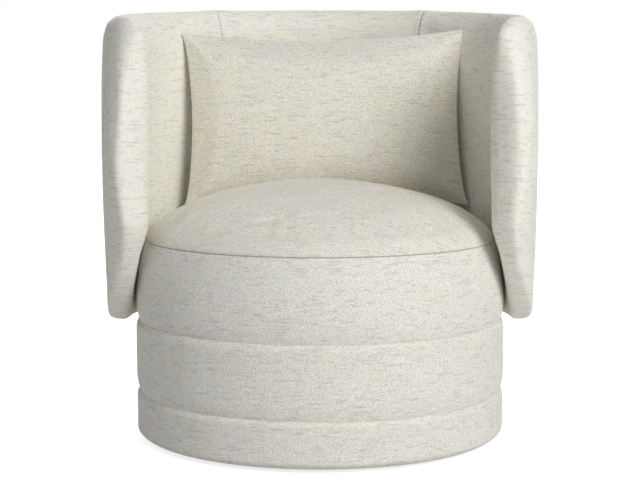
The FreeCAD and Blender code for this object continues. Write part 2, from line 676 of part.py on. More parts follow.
def build_webbing():
    """Elastic straps woven over and under each other across the seat ring."""
    count = int(value("strap_count"))
    pitch = value("strap_pitch")
    width = value("strap_width")
    places = [pitch * (index - (count - 1) / 2) for index in range(count)]
    cross = []
    along = []
    for index, place in enumerate(places):
        length = math.sqrt(value("strap_reach") ** 2 - (abs(place) + width / 2) ** 2)
        over = index % 2 == 0
        cross.append(strap(places, width, length, place, over))
        along.append(strap(places, width, length, -place, not over).rotated(CENTRE, UP, 90))
    keep("crosswise_webbing", solid_group("CrosswiseWebbing", cross))
    keep("lengthwise_webbing", solid_group("LengthwiseWebbing", along))


def build_seat():
    """Firm core and crowned cover of the seat."""
    keep("seat_core", lathe("SeatCore", (
        ("0", "core_bottom"),
        ("core_radius", "core_bottom"),
        ("core_radius", "core_side_top"),
        ("core_edge_radius", "core_edge_height"),
        ("core_top_radius", "core_top"),
        ("0", "core_top"),
    )))
    keep("seat_top", lathe("SeatTop", (
        ("0", "core_top + gap"),
        ("core_top_radius", "core_top + gap"),
        ("core_edge_radius + gap", "core_edge_height + gap"),
        ("band_inner", "seam_height + gap"),
        ("seam_radius", "seam_height + gap"),
        ("shoulder_radius", "shoulder_height"),
        ("crown_edge_radius", "crown_edge_height", "crown_bend", 1),
        ("0", "crown_height"),
    )))


# Wraparound back
def side_loop(name):
    """The closed side outline of the back, in Y and Z."""
    return (
        (f"{name}_fore", f"{name}_sweep_top"),
        (f"{name}_fore", f"{name}_corner_low", f"{name}_bend", -1),
        (f"{name}_corner_y", f"{name}_corner_high"),
        (f"{name}_back", f"{name}_back_high"),
        (f"{name}_back", f"{name}_low"),
        (f"{name}_sweep_y", f"{name}_low", f"{name}_sweep", -1),
    )


def side_prism(name):
    """The side outline of the back as a block right across the chair."""
    body = doc.addObject("PartDesign::Body", f"{name.title()}Block")
    pad = body.newObject("PartDesign::Pad", f"{name.title()}BlockPad")
    pad.Profile = new_sketch(body, f"{name.title()}Side", "YZ_Plane", side_loop(name))
    pad.Midplane = True
    bind(pad, Length="2 * wall_tool_outer")
    doc.recompute()
    return body


def horseshoe(name, outer):
    """A body with the horseshoe plan of the back, as tall as the cutting tools."""
    body = doc.addObject("PartDesign::Body", f"{name.title()}Horseshoe")
    inner = f"{name}_inner"
    rim = f"{name}_outer"
    tip = f"{name}_tip"
    radius = f"{name}_nose"
    bore = {"form": "wall_inner", "frame": "frame_inner", "pocket": "pocket_inner"}[name]
    plan = new_sketch(body, f"{name.title()}Plan", "XY_Plane", (
        (f"{rim}_x", f"{rim}_y", outer, 1),
        ("0", outer, outer, 1),
        (f"-{rim}_x", f"{rim}_y", radius, 1),
        (f"-{tip}_x", f"{tip}_y", radius, 1),
        (f"-{inner}_x", f"{inner}_y", bore, -1),
        ("0", bore, bore, -1),
        (f"{inner}_x", f"{inner}_y", radius, 1),
        (f"{tip}_x", f"{tip}_y", radius, 1),
    ))
    pad = body.newObject("PartDesign::Pad", f"{name.title()}Pad")
    pad.Profile = plan
    bind(pad, Length="wall_tool_high")
    doc.recompute()
    return body


def from_side_outline(face):
    """Whether the side outline made this face: it is swept along X, so its normal has no X."""
    low, high, near, far = face.ParameterRange
    normals = [face.normalAt(low + (high - low) * share, near + (far - near) * other_share)
               for share in PROBE_SHARES for other_share in PROBE_SHARES]
    return all(abs(normal.x) < NEARLY_NONE for normal in normals)


def rim_edges(shape):
    """Numbers of the edges where the side outline's faces meet the upright ones."""
    numbers = []
    for number, edge in enumerate(shape.Edges, start=1):
        owners = [from_side_outline(face) for face in shape.Faces
                  if any(edge.isSame(other) for other in face.Edges)]
        if sorted(owners) == [False, True]:
            numbers.append(number)
    return numbers


def build_back_form():
    """The whole upholstered outside of the back as one form, before it is divided."""
    block = common("FormBlank", horseshoe("form", "wall_outer"), side_prism("form"))
    doc.recompute()
    rounded = doc.addObject("Part::Fillet", "RoundedForm")
    rounded.Base = block
    radius = value("rim_round")
    rounded.Edges = [(number, radius, radius) for number in rim_edges(block.Shape)]
    relief = lathe("DrumRelief", (
        ("wall_inner - overrun", "wall_tool_low"),
        ("wall_inner_low", "wall_tool_low"),
        ("wall_inner_low", "wall_swell_low"),
        ("wall_inner", "wall_swell_high"),
        ("wall_inner - overrun", "wall_swell_high"),
    ))
    return cut("BackForm", rounded, relief)


def build_back_frame():
    """Rails, stiles, posts and the boards on both sides of the frame."""
    blank = common("FrameBlank", horseshoe("frame", "frame_outer"), side_prism("frame"))
    behind = cylinder("BehindStiles", "wall_tool_outer", "0", "wall_tool_high", "rail_arc",
                      "-stile_angle")
    rails = common("RailBlank", blank, behind)
    low = cylinder("LowerRailSlab", "wall_tool_outer", "0", "lower_rail_top")
    keep("back_lower_rail", cut("BackLowerRail", common("LowerRailBlank", rails, low), bolt_holes))
    middle = cylinder("MiddleRailSlab", "wall_tool_outer", "middle_rail_bottom", "middle_rail_height")
    keep("back_middle_rail", common("BackMiddleRail", rails, middle))
    top = cylinder("TopRailSlab", "wall_tool_outer", "top_rail_bottom", "wall_tool_high")
    keep("back_top_rail", common("BackTopRail", rails, top))
    stiles = cut("StileBlank", blank, behind)
    halves = (("right_wing_stile", "RightHalf", 0), ("left_wing_stile", "LeftHalf", -1))
    for label, name, side in halves:
        half = bind(doc.addObject("Part::Box", name), Length="wall_tool_outer", Width="2 * wall_tool_outer",
                    Height="wall_tool_high", Placement__Base__y="-wall_tool_outer")
        if side:
            bind(half, Placement__Base__x="-wall_tool_outer")
        keep(label, common(label.title().replace("_", ""), stiles, half))
    keep("back_posts", back_posts())
    height = "tub_board_height"
    for label, inner, outer in (("inner_back_board", "inner_board_inner", "inner_board_outer"),
                                ("outer_back_board", "outer_board_inner", "outer_board_outer")):
        name = label.title().replace("_", "")
        board = tube(f"{name}Blank", inner, outer, "tub_board_bottom", height, "rail_arc", "-stile_angle")
        keep(label, common(name, board, panel_block))


def back_posts():
    """Uprights between the three rails, cut to the same curve."""
    count = int(value("back_post_count"))
    step = value("back_post_angle")
    width = value("back_post_width")
    inner = value("frame_inner")
    outer = value("frame_outer")
    posts = []
    for low, high in (("lower_rail_top", "middle_rail_bottom"), ("middle_rail_top", "top_rail_bottom")):
        height = value(high) - value(low)
        ring = Part.makeCylinder(outer, height, UP * value(low))
        ring = ring.cut(Part.makeCylinder(inner, height, UP * value(low)))
        bar = Part.makeBox(outer, width, height, FreeCAD.Vector(0, -width / 2, value(low)))
        post = ring.common(bar)
        for index in range(count):
            posts.append(post.rotated(CENTRE, UP, 90 + step * (index - (count - 1) / 2)))
    return solid_group("BackPosts", posts)


def build_back_padding(form):
    """Inner pads, outer panel and edge roll, divided out of the whole form."""
    pocket = common("FramePocket", horseshoe("pocket", "pocket_outer"), side_prism("pocket"))
    seam = side_prism("seam")
    keep("edge_roll", cut("EdgeRoll", cut("RollBlank", form, seam), pocket))
    field = common("PanelField", form, panel_block)
    backing = cylinder("PanelBacking", "panel_backing", "0", "wall_tool_high")
    keep("outer_back_panel", cut("OuterBackPanel", field, backing))
    backing = cylinder("PadBacking", "pad_backing", "0", "wall_tool_high")
    inside = cut("InsideField", common("InsideBlank", field, backing), spacer_holes)
    sectors = (
        ("right_wing_pad", "wing_arc - panel_gap_angle", "-wing_angle - stile_angle"),
        ("center_back_pad", "panel_angle - panel_gap_angle", "90 - panel_angle / 2 + panel_gap_angle / 2"),
        ("left_wing_pad", "wing_arc - panel_gap_angle", "90 + panel_angle / 2 + panel_gap_angle"),
    )
    for label, arc, start in sectors:
        name = label.title().replace("_", "")
        wedge = cylinder(f"{name}Sector", "wall_tool_outer", "0", "wall_tool_high", arc, start)
        keep(label, common(name, inside, wedge))


def build_back_fixings():
    """Bolts and spacers that hold the back to the drum."""
    bolt = radial_rod("back_bolt_radius", "drum_radius", "frame_outer", "back_bolt_height")
    head = radial_rod("back_bolt_head_radius", "back_bolt_start", "drum_radius", "back_bolt_height")
    keep("back_bolts", back_row("BackBolts", bolt.fuse(head)))
    spacer = radial_rod("spacer_radius", "band_inner", "spacer_end", "back_bolt_height")
    spacer = spacer.cut(radial_rod("back_bolt_hole", "drum_radius", "frame_outer", "back_bolt_height"))
    keep("back_spacers", back_row("BackSpacers", spacer))


# Pillow
def pillow_arc(width, depth, height, dip):
    """One face of a level section: an arc from side to side that stands out and dips at its middle."""
    return Part.Arc(FreeCAD.Vector(-width / 2, 0, height), FreeCAD.Vector(0, depth, height + dip),
                    FreeCAD.Vector(width / 2, 0, height)).toShape()


def pillow_level(share, inset):
    """The edges of one level section: front arc, back arc, and the two short ends between them."""
    width = value("pillow_width") - 2 * inset
    height = value("pillow_height") - 2 * inset
    edge = max(value("pillow_edge") / 2 - inset, value("gap") / 2)
    depth = value("pillow_depth") / 2 - inset
    fullness = 1 - share ** 2
    puff = (depth - edge) * fullness ** PILLOW_PUFF_SHARE + value("gap")
    dip = -value("pillow_sag") if share > 0 else value("seat_lift")
    span = width - 2 * value("pillow_pinch") * fullness
    front, back = (pillow_arc(span, side * puff, share * height / 2, dip * share ** 2).translated(
        FreeCAD.Vector(0, side * edge, 0)) for side in (-1, 1))
    ends = [Part.LineSegment(front.Vertexes[index].Point, back.Vertexes[index].Point).toShape()
            for index in (0, 1)]
    return front, back, ends[0], ends[1]


def pillow_form(inset):
    """A knife-edge pillow about the origin: strips ruled from level to level, closed at both edges."""
    levels = [pillow_level(share, inset) for share in PILLOW_LEVEL_SHARES]
    faces = []
    for below, above in zip(levels, levels[1:]):
        for low, high in zip(below, above):
            faces.extend(Part.makeRuledSurface(low, high).Faces)
    for front, back, *_ in (levels[0], levels[-1]):
        faces.extend(Part.makeRuledSurface(front, back).Faces)
    shell = Part.Shell(faces)
    shell.sewShape()
    return Part.Solid(Part.Shell(shell.Faces))


def stand_pillow(shape):
    """Stand a pillow made about the origin on the seat, leaning against the back."""
    shape = shape.rotated(CENTRE, FreeCAD.Vector(1, 0, 0), -value("pillow_lean"))
    return shape.translated(FreeCAD.Vector(0, value("pillow_back"), value("pillow_middle")))


def build_pillow():
    """Cover and insert of the loose pillow."""
    wrap = value("cover_thickness")
    cover = pillow_form(0).cut(pillow_form(wrap))
    keep("pillow_cover", solid_group("PillowCover", [stand_pillow(cover)]))
    keep("pillow_insert", solid_group("PillowInsert", [stand_pillow(pillow_form(wrap + value("gap")))]))


bolt_holes = back_row("BackBoltHoles", radial_rod("back_bolt_hole", "band_inner - overrun",
                                                  "frame_outer + overrun", "back_bolt_height"))
spacer_holes = back_row("SpacerHoles", radial_rod("spacer_hole", "band_inner - overrun",
                                                  "spacer_end", "back_bolt_height"))


def check_and_export():
    """Stop at any failed object or bad solid, then write every sub-part."""
    doc.recompute()
    for thing in doc.Objects:
        if "Invalid" in thing.State or "Error" in thing.State:
            raise RuntimeError(f"{thing.Label} failed: {thing.State}")
    os.makedirs("parts", exist_ok=True)
    for label, thing in parts.items():
        shape = thing.Shape
        if shape.isNull() or not shape.isValid() or not shape.Solids:
            raise RuntimeError(f"{label} has no valid solid")
        shape.exportStep(f"parts/{label}.step")
        print(label, len(shape.Solids), "solids", round(shape.Volume))


panel_block = side_prism("panel")
build_base()
build_bearing()
build_drum_frame()
build_bands()
build_webbing()
build_seat()
build_back_frame()
build_back_padding(build_back_form())
build_back_fixings()
build_pillow()
check_and_export()
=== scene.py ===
"""Upholstered swivel chair: its covers, cushions, pillow and hidden frame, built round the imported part."""
import math

import bmesh
import bpy
import numpy as np
from mathutils import Euler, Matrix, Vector, noise


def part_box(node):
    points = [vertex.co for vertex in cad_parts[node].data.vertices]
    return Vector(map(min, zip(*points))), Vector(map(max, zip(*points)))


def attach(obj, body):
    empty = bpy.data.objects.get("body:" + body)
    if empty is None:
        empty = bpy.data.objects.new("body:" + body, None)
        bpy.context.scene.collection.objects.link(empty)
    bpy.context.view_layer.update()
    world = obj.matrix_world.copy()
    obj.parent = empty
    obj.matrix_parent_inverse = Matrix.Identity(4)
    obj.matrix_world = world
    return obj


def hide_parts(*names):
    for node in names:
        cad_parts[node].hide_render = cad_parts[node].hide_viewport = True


bl_info = {
    "name": "Swivel chair covers",
    "version": (1, 0, 0),
    "blender": (4, 5, 0),
    "location": "3D View > Sidebar > Chair",
    "description": "Builds the covers, cushions and finishes of an upholstered swivel chair",
    "category": "Object",
}

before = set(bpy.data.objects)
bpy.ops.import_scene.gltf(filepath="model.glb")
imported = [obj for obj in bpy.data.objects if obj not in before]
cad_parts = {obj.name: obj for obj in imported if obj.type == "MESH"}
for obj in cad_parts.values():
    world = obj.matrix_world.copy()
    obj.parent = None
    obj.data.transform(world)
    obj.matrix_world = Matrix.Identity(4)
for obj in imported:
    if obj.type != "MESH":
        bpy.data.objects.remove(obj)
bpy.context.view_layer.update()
WEAVE_MAP = "weave"
MM = 0.001


def low(node):
    """Lowest corner of a node of the part."""
    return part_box(node)[0]


def high(node):
    """Highest corner of a node of the part."""
    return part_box(node)[1]


# Settings a user would change
class FabricSettings(bpy.types.PropertyGroup):
    """Colours and weave of the oatmeal fabric."""
    light: bpy.props.FloatVectorProperty(
        name="Light yarn", description="Colour of the palest yarn", subtype="COLOR", size=3,
        min=0, max=1, default=(0.96, 0.948, 0.9))
    middle: bpy.props.FloatVectorProperty(
        name="Middle yarn", description="Colour of most yarn", subtype="COLOR", size=3,
        min=0, max=1, default=(0.86, 0.838, 0.775))
    dark: bpy.props.FloatVectorProperty(
        name="Dark yarn", description="Colour of the darkest yarn", subtype="COLOR",
        size=3, min=0, max=1, default=(0.6, 0.57, 0.51))
    # The gaps' colour is also painted along seams as shade
    gap: bpy.props.FloatVectorProperty(
        name="Gaps", description="Colour between the yarns and of the slubs", subtype="COLOR",
        size=3, min=0, max=1, default=(0.3, 0.27, 0.22))
    pitch: bpy.props.FloatProperty(
        name="Yarn pitch", description="From yarn to yarn", subtype="DISTANCE", unit="LENGTH",
        default=1.8 * MM, min=0.5 * MM)


class BackSettings(bpy.types.PropertyGroup):
    """Shape of the wraparound back's cover."""
    middle_radius: bpy.props.FloatProperty(
        name="Middle radius", description="Half way through the wall", unit="LENGTH",
        default=high("edge_roll").x - 32 * MM)
    rim_rise: bpy.props.FloatProperty(
        name="Rim height", description="Rim above the swivel axis", unit="LENGTH", default=776.0 * MM)
    rim_slope: bpy.props.FloatProperty(
        name="Rim slope", description="Rise of the rim towards the back", default=0.055)
    nose_angle: bpy.props.FloatProperty(
        name="Wing angle", description="From the side to the wing's crest", subtype="ANGLE",
        unit="ROTATION", default=math.radians(31.5))
    nose_swell: bpy.props.FloatProperty(
        name="Nose swell", description="Extra padding outside the wing's end", unit="LENGTH", default=19 * MM)
    nose_slant: bpy.props.FloatProperty(
        name="Nose slant", description="How far the wing's end is turned inward, as a slope", default=0.2)
    seam_angle: bpy.props.FloatProperty(
        name="Seam angle", description="From the middle of the back to each upright seam",
        subtype="ANGLE", unit="ROTATION", default=math.radians(35.4))
    spacing: bpy.props.FloatProperty(
        name="Mesh spacing", description="Size of the cover's faces", unit="LENGTH", default=10 * MM)


class DrumSettings(bpy.types.PropertyGroup):
    """Shape of the drum's channels and the seat."""
    groove_radius: bpy.props.FloatProperty(
        name="Groove radius", description="Drum at a pinched channel", unit="LENGTH",
        default=high("middle_band").x - 6 * MM)
    bulge: bpy.props.FloatProperty(
        name="Bulge", description="How far a channel stands out", unit="LENGTH", default=6 * MM)
    spacing: bpy.props.FloatProperty(
        name="Mesh spacing", description="Size of the cover's faces", unit="LENGTH", default=8 * MM)


class PillowSettings(bpy.types.PropertyGroup):
    """Shape of the loose pillow."""
    width: bpy.props.FloatProperty(
        name="Width", description="From corner to corner", unit="LENGTH",
        default=high("pillow_cover").x - low("pillow_cover").x + 26 * MM)
    height: bpy.props.FloatProperty(
        name="Height", description="From corner to corner", unit="LENGTH",
        default=high("pillow_cover").z - low("pillow_cover").z + 8 * MM)
    side_pinch: bpy.props.FloatProperty(
        name="Side pinch", description="How far the sides are drawn in", unit="LENGTH", default=17 * MM)
    end_pinch: bpy.props.FloatProperty(
        name="End pinch", description="How far the top and bottom are drawn in", unit="LENGTH",
        default=20 * MM)
    shift: bpy.props.FloatProperty(
        name="Shift", description="To the side of the middle", unit="LENGTH", default=9 * MM)
    lean: bpy.props.FloatProperty(
        name="Lean", description="Backward lean", subtype="ANGLE", unit="ROTATION",
        default=math.radians(8))
    turn: bpy.props.FloatProperty(
        name="Turn", description="Turn in its own plane", subtype="ANGLE", unit="ROTATION",
        default=math.radians(0.8))
    spacing: bpy.props.FloatProperty(
        name="Mesh spacing", description="Size of the cover's faces", unit="LENGTH", default=8 * MM)


class StageSettings(bpy.types.PropertyGroup):
    """Camera and light."""
    distance: bpy.props.FloatProperty(
        name="Camera distance", description="From the swivel axis", unit="LENGTH", default=3.015)
    height: bpy.props.FloatProperty(
        name="Camera height", description="Above the floor", unit="LENGTH", default=687.7 * MM)
    pitch: bpy.props.FloatProperty(
        name="Camera pitch", description="Downward tilt", subtype="ANGLE", unit="ROTATION",
        default=math.radians(6.2))
    lens: bpy.props.FloatProperty(name="Lens", description="Focal length", subtype="DISTANCE_CAMERA",
                                  default=92.0)
    key_power: bpy.props.FloatProperty(name="Key light", description="Soft light from the front right",
                                       subtype="POWER", default=415.0)
    fill_power: bpy.props.FloatProperty(name="Fill light", description="Soft light from high on the left",
                                        subtype="POWER", default=46.0)
    back_power: bpy.props.FloatProperty(name="Back light", description="Soft light from behind",
                                        subtype="POWER", default=190.0)
    ambient: bpy.props.FloatProperty(name="Room light", description="Even light from all round",
                                     default=0.2)


SETTINGS = {
    "chair_fabric": FabricSettings,
    "chair_back": BackSettings,
    "chair_drum": DrumSettings,
    "chair_pillow": PillowSettings,
    "chair_stage": StageSettings,
}


def settings(name):
    """One group of settings on the scene."""
    return getattr(bpy.context.scene, f"chair_{name}")


# Node maths
class Wire:
    """A node's output that can stand in sums: each operation adds its Math node."""

    def __init__(self, tree, socket):
        self.tree = tree
        self.socket = socket

    def __add__(self, other):
        return maths(self.tree, "ADD", self, other)

    __radd__ = __add__

    def __sub__(self, other):
        return maths(self.tree, "SUBTRACT", self, other)

    def __rsub__(self, other):
        return maths(self.tree, "SUBTRACT", other, self)

    def __mul__(self, other):
        return maths(self.tree, "MULTIPLY", self, other)

    __rmul__ = __mul__

    def __truediv__(self, other):
        return maths(self.tree, "DIVIDE", self, other)

    def __rtruediv__(self, other):
        return maths(self.tree, "DIVIDE", other, self)

    def __abs__(self):
        return maths(self.tree, "ABSOLUTE", self)

    def floor(self):
        """Round down."""
        return maths(self.tree, "FLOOR", self)

    def sin(self):
        """Sine."""
        return maths(self.tree, "SINE", self)

    def over(self, edge, width):
        """0 below the edge, 1 above it, with a soft step of that width."""
        values = (self, edge - width / 2, edge + width / 2, 0.0, 1.0)
        return add(self.tree, "ShaderNodeMapRange", dict(enumerate(values)), interpolation_type="SMOOTHSTEP")

    def parts(self):
        """All the outputs of this wire's node."""
        return [Wire(self.tree, socket) for socket in self.socket.node.outputs]


def maths(tree, operation, *values):
    """A Math node of values or wires."""
    return add(tree, "ShaderNodeMath", dict(enumerate(values)), operation=operation)


def plug(tree, place, value):
    """Link a wire to a socket, or write a plain value on it."""
    if isinstance(value, Wire):
        tree.links.new(value.socket, place)
    else:
        place.default_value = value


def add(tree, kind, inputs=None, output=0, stops=None, **options):
    """Any node: its type, its options and stops, then the values or links of its sockets."""
    node = tree.nodes.new(kind)
    for name, value in options.items():
        setattr(node, name, value)
    if stops:
        ramp = node.color_ramp
        while len(ramp.elements) < len(stops):
            ramp.elements.new(0.5)
        for element, (place, colour) in zip(ramp.elements, stops):
            element.position = place
            element.color = (*colour, 1.0)
    for name, value in (inputs or {}).items():
        plug(tree, node.inputs[name], value)
    return Wire(tree, node.outputs[output]) if node.outputs else None


def new_material(name):
    """An empty node material and its tree."""
    material = bpy.data.materials.new(name)
    material.use_nodes = True
    material.node_tree.nodes.clear()
    return material, material.node_tree


def finish_material(material, colour, roughness, bump, bump_depth, strength, **sockets):
    """Close a material: the shader with its colour, roughness, bump and plain sockets."""
    tree = material.node_tree
    relief = add(tree, "ShaderNodeBump", {"Height": bump, "Distance": bump_depth, "Strength": strength})
    inputs = {"Base Color": colour, "Roughness": roughness, "Normal": relief}
    inputs.update((name.replace("_", " "), value) for name, value in sockets.items())
    shader = add(tree, "ShaderNodeBsdfPrincipled", inputs)
    add(tree, "ShaderNodeOutputMaterial", {"Surface": shader})
    return material


def place_on(tree, u, v, w):
    """A vector of three values or wires."""
    return add(tree, "ShaderNodeCombineXYZ", {"X": u, "Y": v, "Z": w})


def split_vector(tree, vector):
    """The three values of a vector."""
    return add(tree, "ShaderNodeSeparateXYZ", {"Vector": vector}).parts()


def object_place(tree):
    """The three object coordinates, in metres, as one vector and as three values."""
    place = add(tree, "ShaderNodeTexCoord", output="Object")
    return place, split_vector(tree, place)


def cloud(tree, place, scale, detail, roughness=0.5):
    """Soft noise from 0 to 1."""
    return add(tree, "ShaderNodeTexNoise", {"Vector": place, "Scale": scale, "Detail": detail,
                                            "Roughness": roughness})


def tones(tree, value, *stops):
    """A colour from a value, by stops of place and colour."""
    return add(tree, "ShaderNodeValToRGB", {"Fac": value}, stops=stops)


def mix_values(factor, first, second):
    """Between two values by a wire."""
    return first + factor * (second - first)


def mix_colour(tree, factor, first, second, blend="MIX"):
    """A mix of two colours."""
    node = add(tree, "ShaderNodeMix", {0: factor}, data_type="RGBA", blend_type=blend).socket.node
    places = [socket for socket in node.inputs if socket.type == "RGBA"]
    for place, value in zip(places, (first, second)):
        plug(tree, place, value)
    return Wire(tree, next(socket for socket in node.outputs if socket.type == "RGBA"))


# Materials
# The fabric's slow tints: place on the ramp, then red, green and blue
SLOW_TINTS = ((0.3, 1.0, 0.985, 0.945), (0.43, 0.99, 1.0, 0.965), (0.57, 0.985, 0.993, 0.995),
              (0.7, 1.0, 0.98, 0.98))
YARN_DRAG = 1.6 * MM
YARN_STRAY = 2.6 * MM
YARN_RELIEF = 0.5 * MM
# Half width and soft edge of the line of painted shade along a seam's crease
SEAM_SHADE_HALF = 1.0 * MM
SEAM_SHADE_FADE = 1.2 * MM
PLY = 1.5 * MM
STRAP_RIB = 1.6 * MM
THREAD_TWIST = 0.5 * MM


def woven_fabric(name, grain, seam=None, pale=0.0, warm=0.0):
    """Slubby oatmeal basket weave that follows the weave map in metres.

    Grain is its seed, pale lifts its shade as painted light for a more brightly lit cover, and warm takes
    blue from it. Seam is the height of a thin line of painted shade along a seam's crease.
    """
    cloth = settings("fabric")
    material, tree = new_material(name)
    u, v, _ = split_vector(tree, add(tree, "ShaderNodeUVMap", uv_map=WEAVE_MAP))

    def streaks(across_place, along_place, seed, detail, roughness=0.5):
        """Noise drawn out by the scale of each of its two places."""
        return cloud(tree, place_on(tree, across_place, along_place, grain + seed), 1.0, detail, roughness)

    drag = streaks(u * 60.0, v * 18.0, 8.0, 2.0) - 0.5
    stray = streaks(u * 26.0, v * 60.0, 4.0, 2.0) - 0.5
    across = (u + drag * YARN_DRAG) / cloth.pitch
    along = (v + stray * YARN_STRAY) / cloth.pitch
    column, row = across.floor(), along.floor()
    beside, above = across - column - 0.5, along - row - 0.5
    # Each yarn keeps its own tone, which drifts slowly along it
    weft_tone = streaks(across * 0.17, row * 3.71, 0.0, 4.0, 0.75)
    warp_tone = streaks(column * 4.13, along * 0.22, 9.0, 4.0, 0.75)
    cell = add(tree, "ShaderNodeTexWhiteNoise", {"Vector": place_on(tree, column, row, grain)})
    crossing = (across * math.pi).sin() * (along * math.pi).sin()
    upper = crossing.over(0.0, 0.7)
    tone = mix_values(upper, warp_tone, weft_tone)
    round_yarn = 1.0 - mix_values(upper, beside * beside, above * above) * 4.0
    # Long dark gaps open between some rows of yarn, and shorter ones between columns
    row_gap = abs(above).over(0.1, 0.3) * streaks(across * 0.055, row * 5.3, 21.0, 4.0).over(0.6, 0.12)
    column_gap = abs(beside).over(0.36, 0.2) * streaks(column * 6.7, along * 0.11, 33.0, 3.0).over(0.6, 0.1)
    slub = streaks(across * 0.1, row * 2.9, 45.0, 1.0).over(0.62, 0.12)
    flecks = streaks(u * 430.0, v * 640.0, 0.0, 2.0)
    patch = cloud(tree, place_on(tree, u, v, grain), 24.0, 3.0)
    # The weights of each of these in the shade were set against the photo
    # pale raises the whole shade: painted light that makes a cover read as more brightly lit
    shade = (tone * 0.34 + round_yarn * 0.3 + cell * 0.42 + upper * 0.15 + flecks * 2.9 + patch * 0.05
             + slub * 0.12 + (pale - 1.65))
    yarn = tones(tree, shade, (0.1, cloth.dark), (0.45, cloth.middle), (0.9, cloth.light))
    gaps = row_gap * 0.36 + column_gap * 0.3
    colour = mix_colour(tree, gaps, yarn, (*cloth.gap, 1.0))
    tints = [(place, (red, green * (1 - warm * 0.25), blue * (1 - warm)))
             for place, red, green, blue in SLOW_TINTS]
    tint = tones(tree, cloud(tree, place_on(tree, u, v, grain + 2.0), 19.0, 3.0), *tints)
    colour = mix_colour(tree, 1.0, colour, tint, "MULTIPLY")
    # A thin line of painted shade along the seam, where the seam's crease lies in shadow
    if seam is not None:
        _, (_, _, level) = object_place(tree)
        painted_seam_shade = 1.0 - abs(level - seam).over(SEAM_SHADE_HALF, SEAM_SHADE_FADE)
        colour = mix_colour(tree, painted_seam_shade * 0.75, colour, (*cloth.gap, 1.0))
    height = round_yarn * 0.6 + cell * 0.4 + slub * 0.4 + flecks * 0.3 - row_gap * 0.6 - column_gap * 0.4
    return finish_material(material, colour, 0.9 + gaps * 0.08, height, YARN_RELIEF, 0.5,
                           Sheen_Weight=0.2, Sheen_Roughness=0.5, Specular_IOR_Level=0.25)


def plywood(name, pale, dark):
    """Sanded plywood: long grain on its faces and its plies on upright edges."""
    material, tree = new_material(name)
    _, (x, y, z) = object_place(tree)
    grain = cloud(tree, place_on(tree, x * 6.0, y * 90.0, z * 90.0), 1.0, 5.0, 0.6)
    plies = (z / PLY * math.pi).sin().over(0.0, 0.6)
    facing = abs(split_vector(tree, add(tree, "ShaderNodeNewGeometry", output="Normal"))[2])
    edge = 1.0 - facing.over(0.5, 0.4)
    face = tones(tree, grain, (0.3, dark), (0.7, pale))
    layers = mix_colour(tree, plies, (*pale, 1.0), (*[part * 0.62 for part in dark], 1.0))
    colour = mix_colour(tree, edge * 0.7, face, layers)
    return finish_material(material, colour, 0.55 + grain * 0.2, grain, 0.2 * MM, 0.3)


def hardwood(name):
    """Planed hardwood with upright grain."""
    material, tree = new_material(name)
    _, (x, y, z) = object_place(tree)
    grain = cloud(tree, place_on(tree, x * 110.0, y * 110.0, z * 7.0), 1.0, 6.0, 0.65)
    colour = tones(tree, grain, (0.25, (0.36, 0.22, 0.11)), (0.75, (0.62, 0.44, 0.27)))
    return finish_material(material, colour, 0.5 + grain * 0.15, grain, 0.2 * MM, 0.35)


def matted_fibres(name, scale, detail, mat, dark, pale, roughness, depth, strength, **sockets):
    """Short matted fibres in two tones, for fibreboard, felt and dust cloth."""
    material, tree = new_material(name)
    place, _ = object_place(tree)
    fibres = cloud(tree, place, scale, detail, mat)
    colour = tones(tree, fibres, (0.3, dark), (0.7, pale))
    return finish_material(material, colour, roughness, fibres, depth, strength, **sockets)


def zinc_steel(name, tone=0.58, polish=0.32):
    """Zinc-plated steel with a faint spangle and fine scratches."""
    material, tree = new_material(name)
    place, (x, y, z) = object_place(tree)
    spangle = add(tree, "ShaderNodeTexVoronoi", {"Vector": place, "Scale": 130.0}, output="Color")
    patch = split_vector(tree, spangle)[0]
    scratch = cloud(tree, place_on(tree, x * 30.0, y * 900.0, z * 900.0), 1.0, 2.0)
    colour = tones(tree, patch, (0.0, (tone * 0.85, tone * 0.87, tone * 0.9)),
                   (1.0, (tone, tone, tone * 1.02)))
    return finish_material(material, colour, polish + patch * 0.12 + scratch * 0.08, scratch, 0.05 * MM, 0.2,
                           Metallic=1.0)


def moulded_nylon(name):
    """Moulded natural nylon with a fine matt texture."""
    material, tree = new_material(name)
    place, _ = object_place(tree)
    pebble = cloud(tree, place, 900.0, 2.0)
    colour = tones(tree, cloud(tree, place, 30.0, 2.0), (0.3, (0.72, 0.69, 0.6)), (0.7, (0.82, 0.8, 0.72)))
    return finish_material(material, colour, 0.45 + pebble * 0.15, pebble, 0.05 * MM, 0.3)


def strap_weave(name):
    """Elastic webbing: a tight herringbone of dark yarn with a paler stripe."""
    material, tree = new_material(name)
    _, (x, y, _) = object_place(tree)
    ribs = ((x + y) * (math.pi / STRAP_RIB)).sin()
    cross = ((x - y) * (math.pi / STRAP_RIB)).sin()
    weave = ribs * cross * 0.5 + 0.5
    colour = tones(tree, weave, (0.2, (0.012, 0.012, 0.014)), (0.8, (0.05, 0.05, 0.055)))
    return finish_material(material, colour, 0.85, weave, 0.3 * MM, 0.6)


def cut_foam(name, tint):
    """Open-cell foam: tiny pores under a pale skin."""
    material, tree = new_material(name)
    place, _ = object_place(tree)
    pores = add(tree, "ShaderNodeTexVoronoi", {"Vector": place, "Scale": 900.0}, output="Distance")
    colour = tones(tree, cloud(tree, place, 25.0, 2.0) * 0.6 + pores * 0.5,
                   (0.2, [part * 0.75 for part in tint]), (0.7, tint))
    return finish_material(material, colour, 0.9, pores, 0.3 * MM, 0.5)


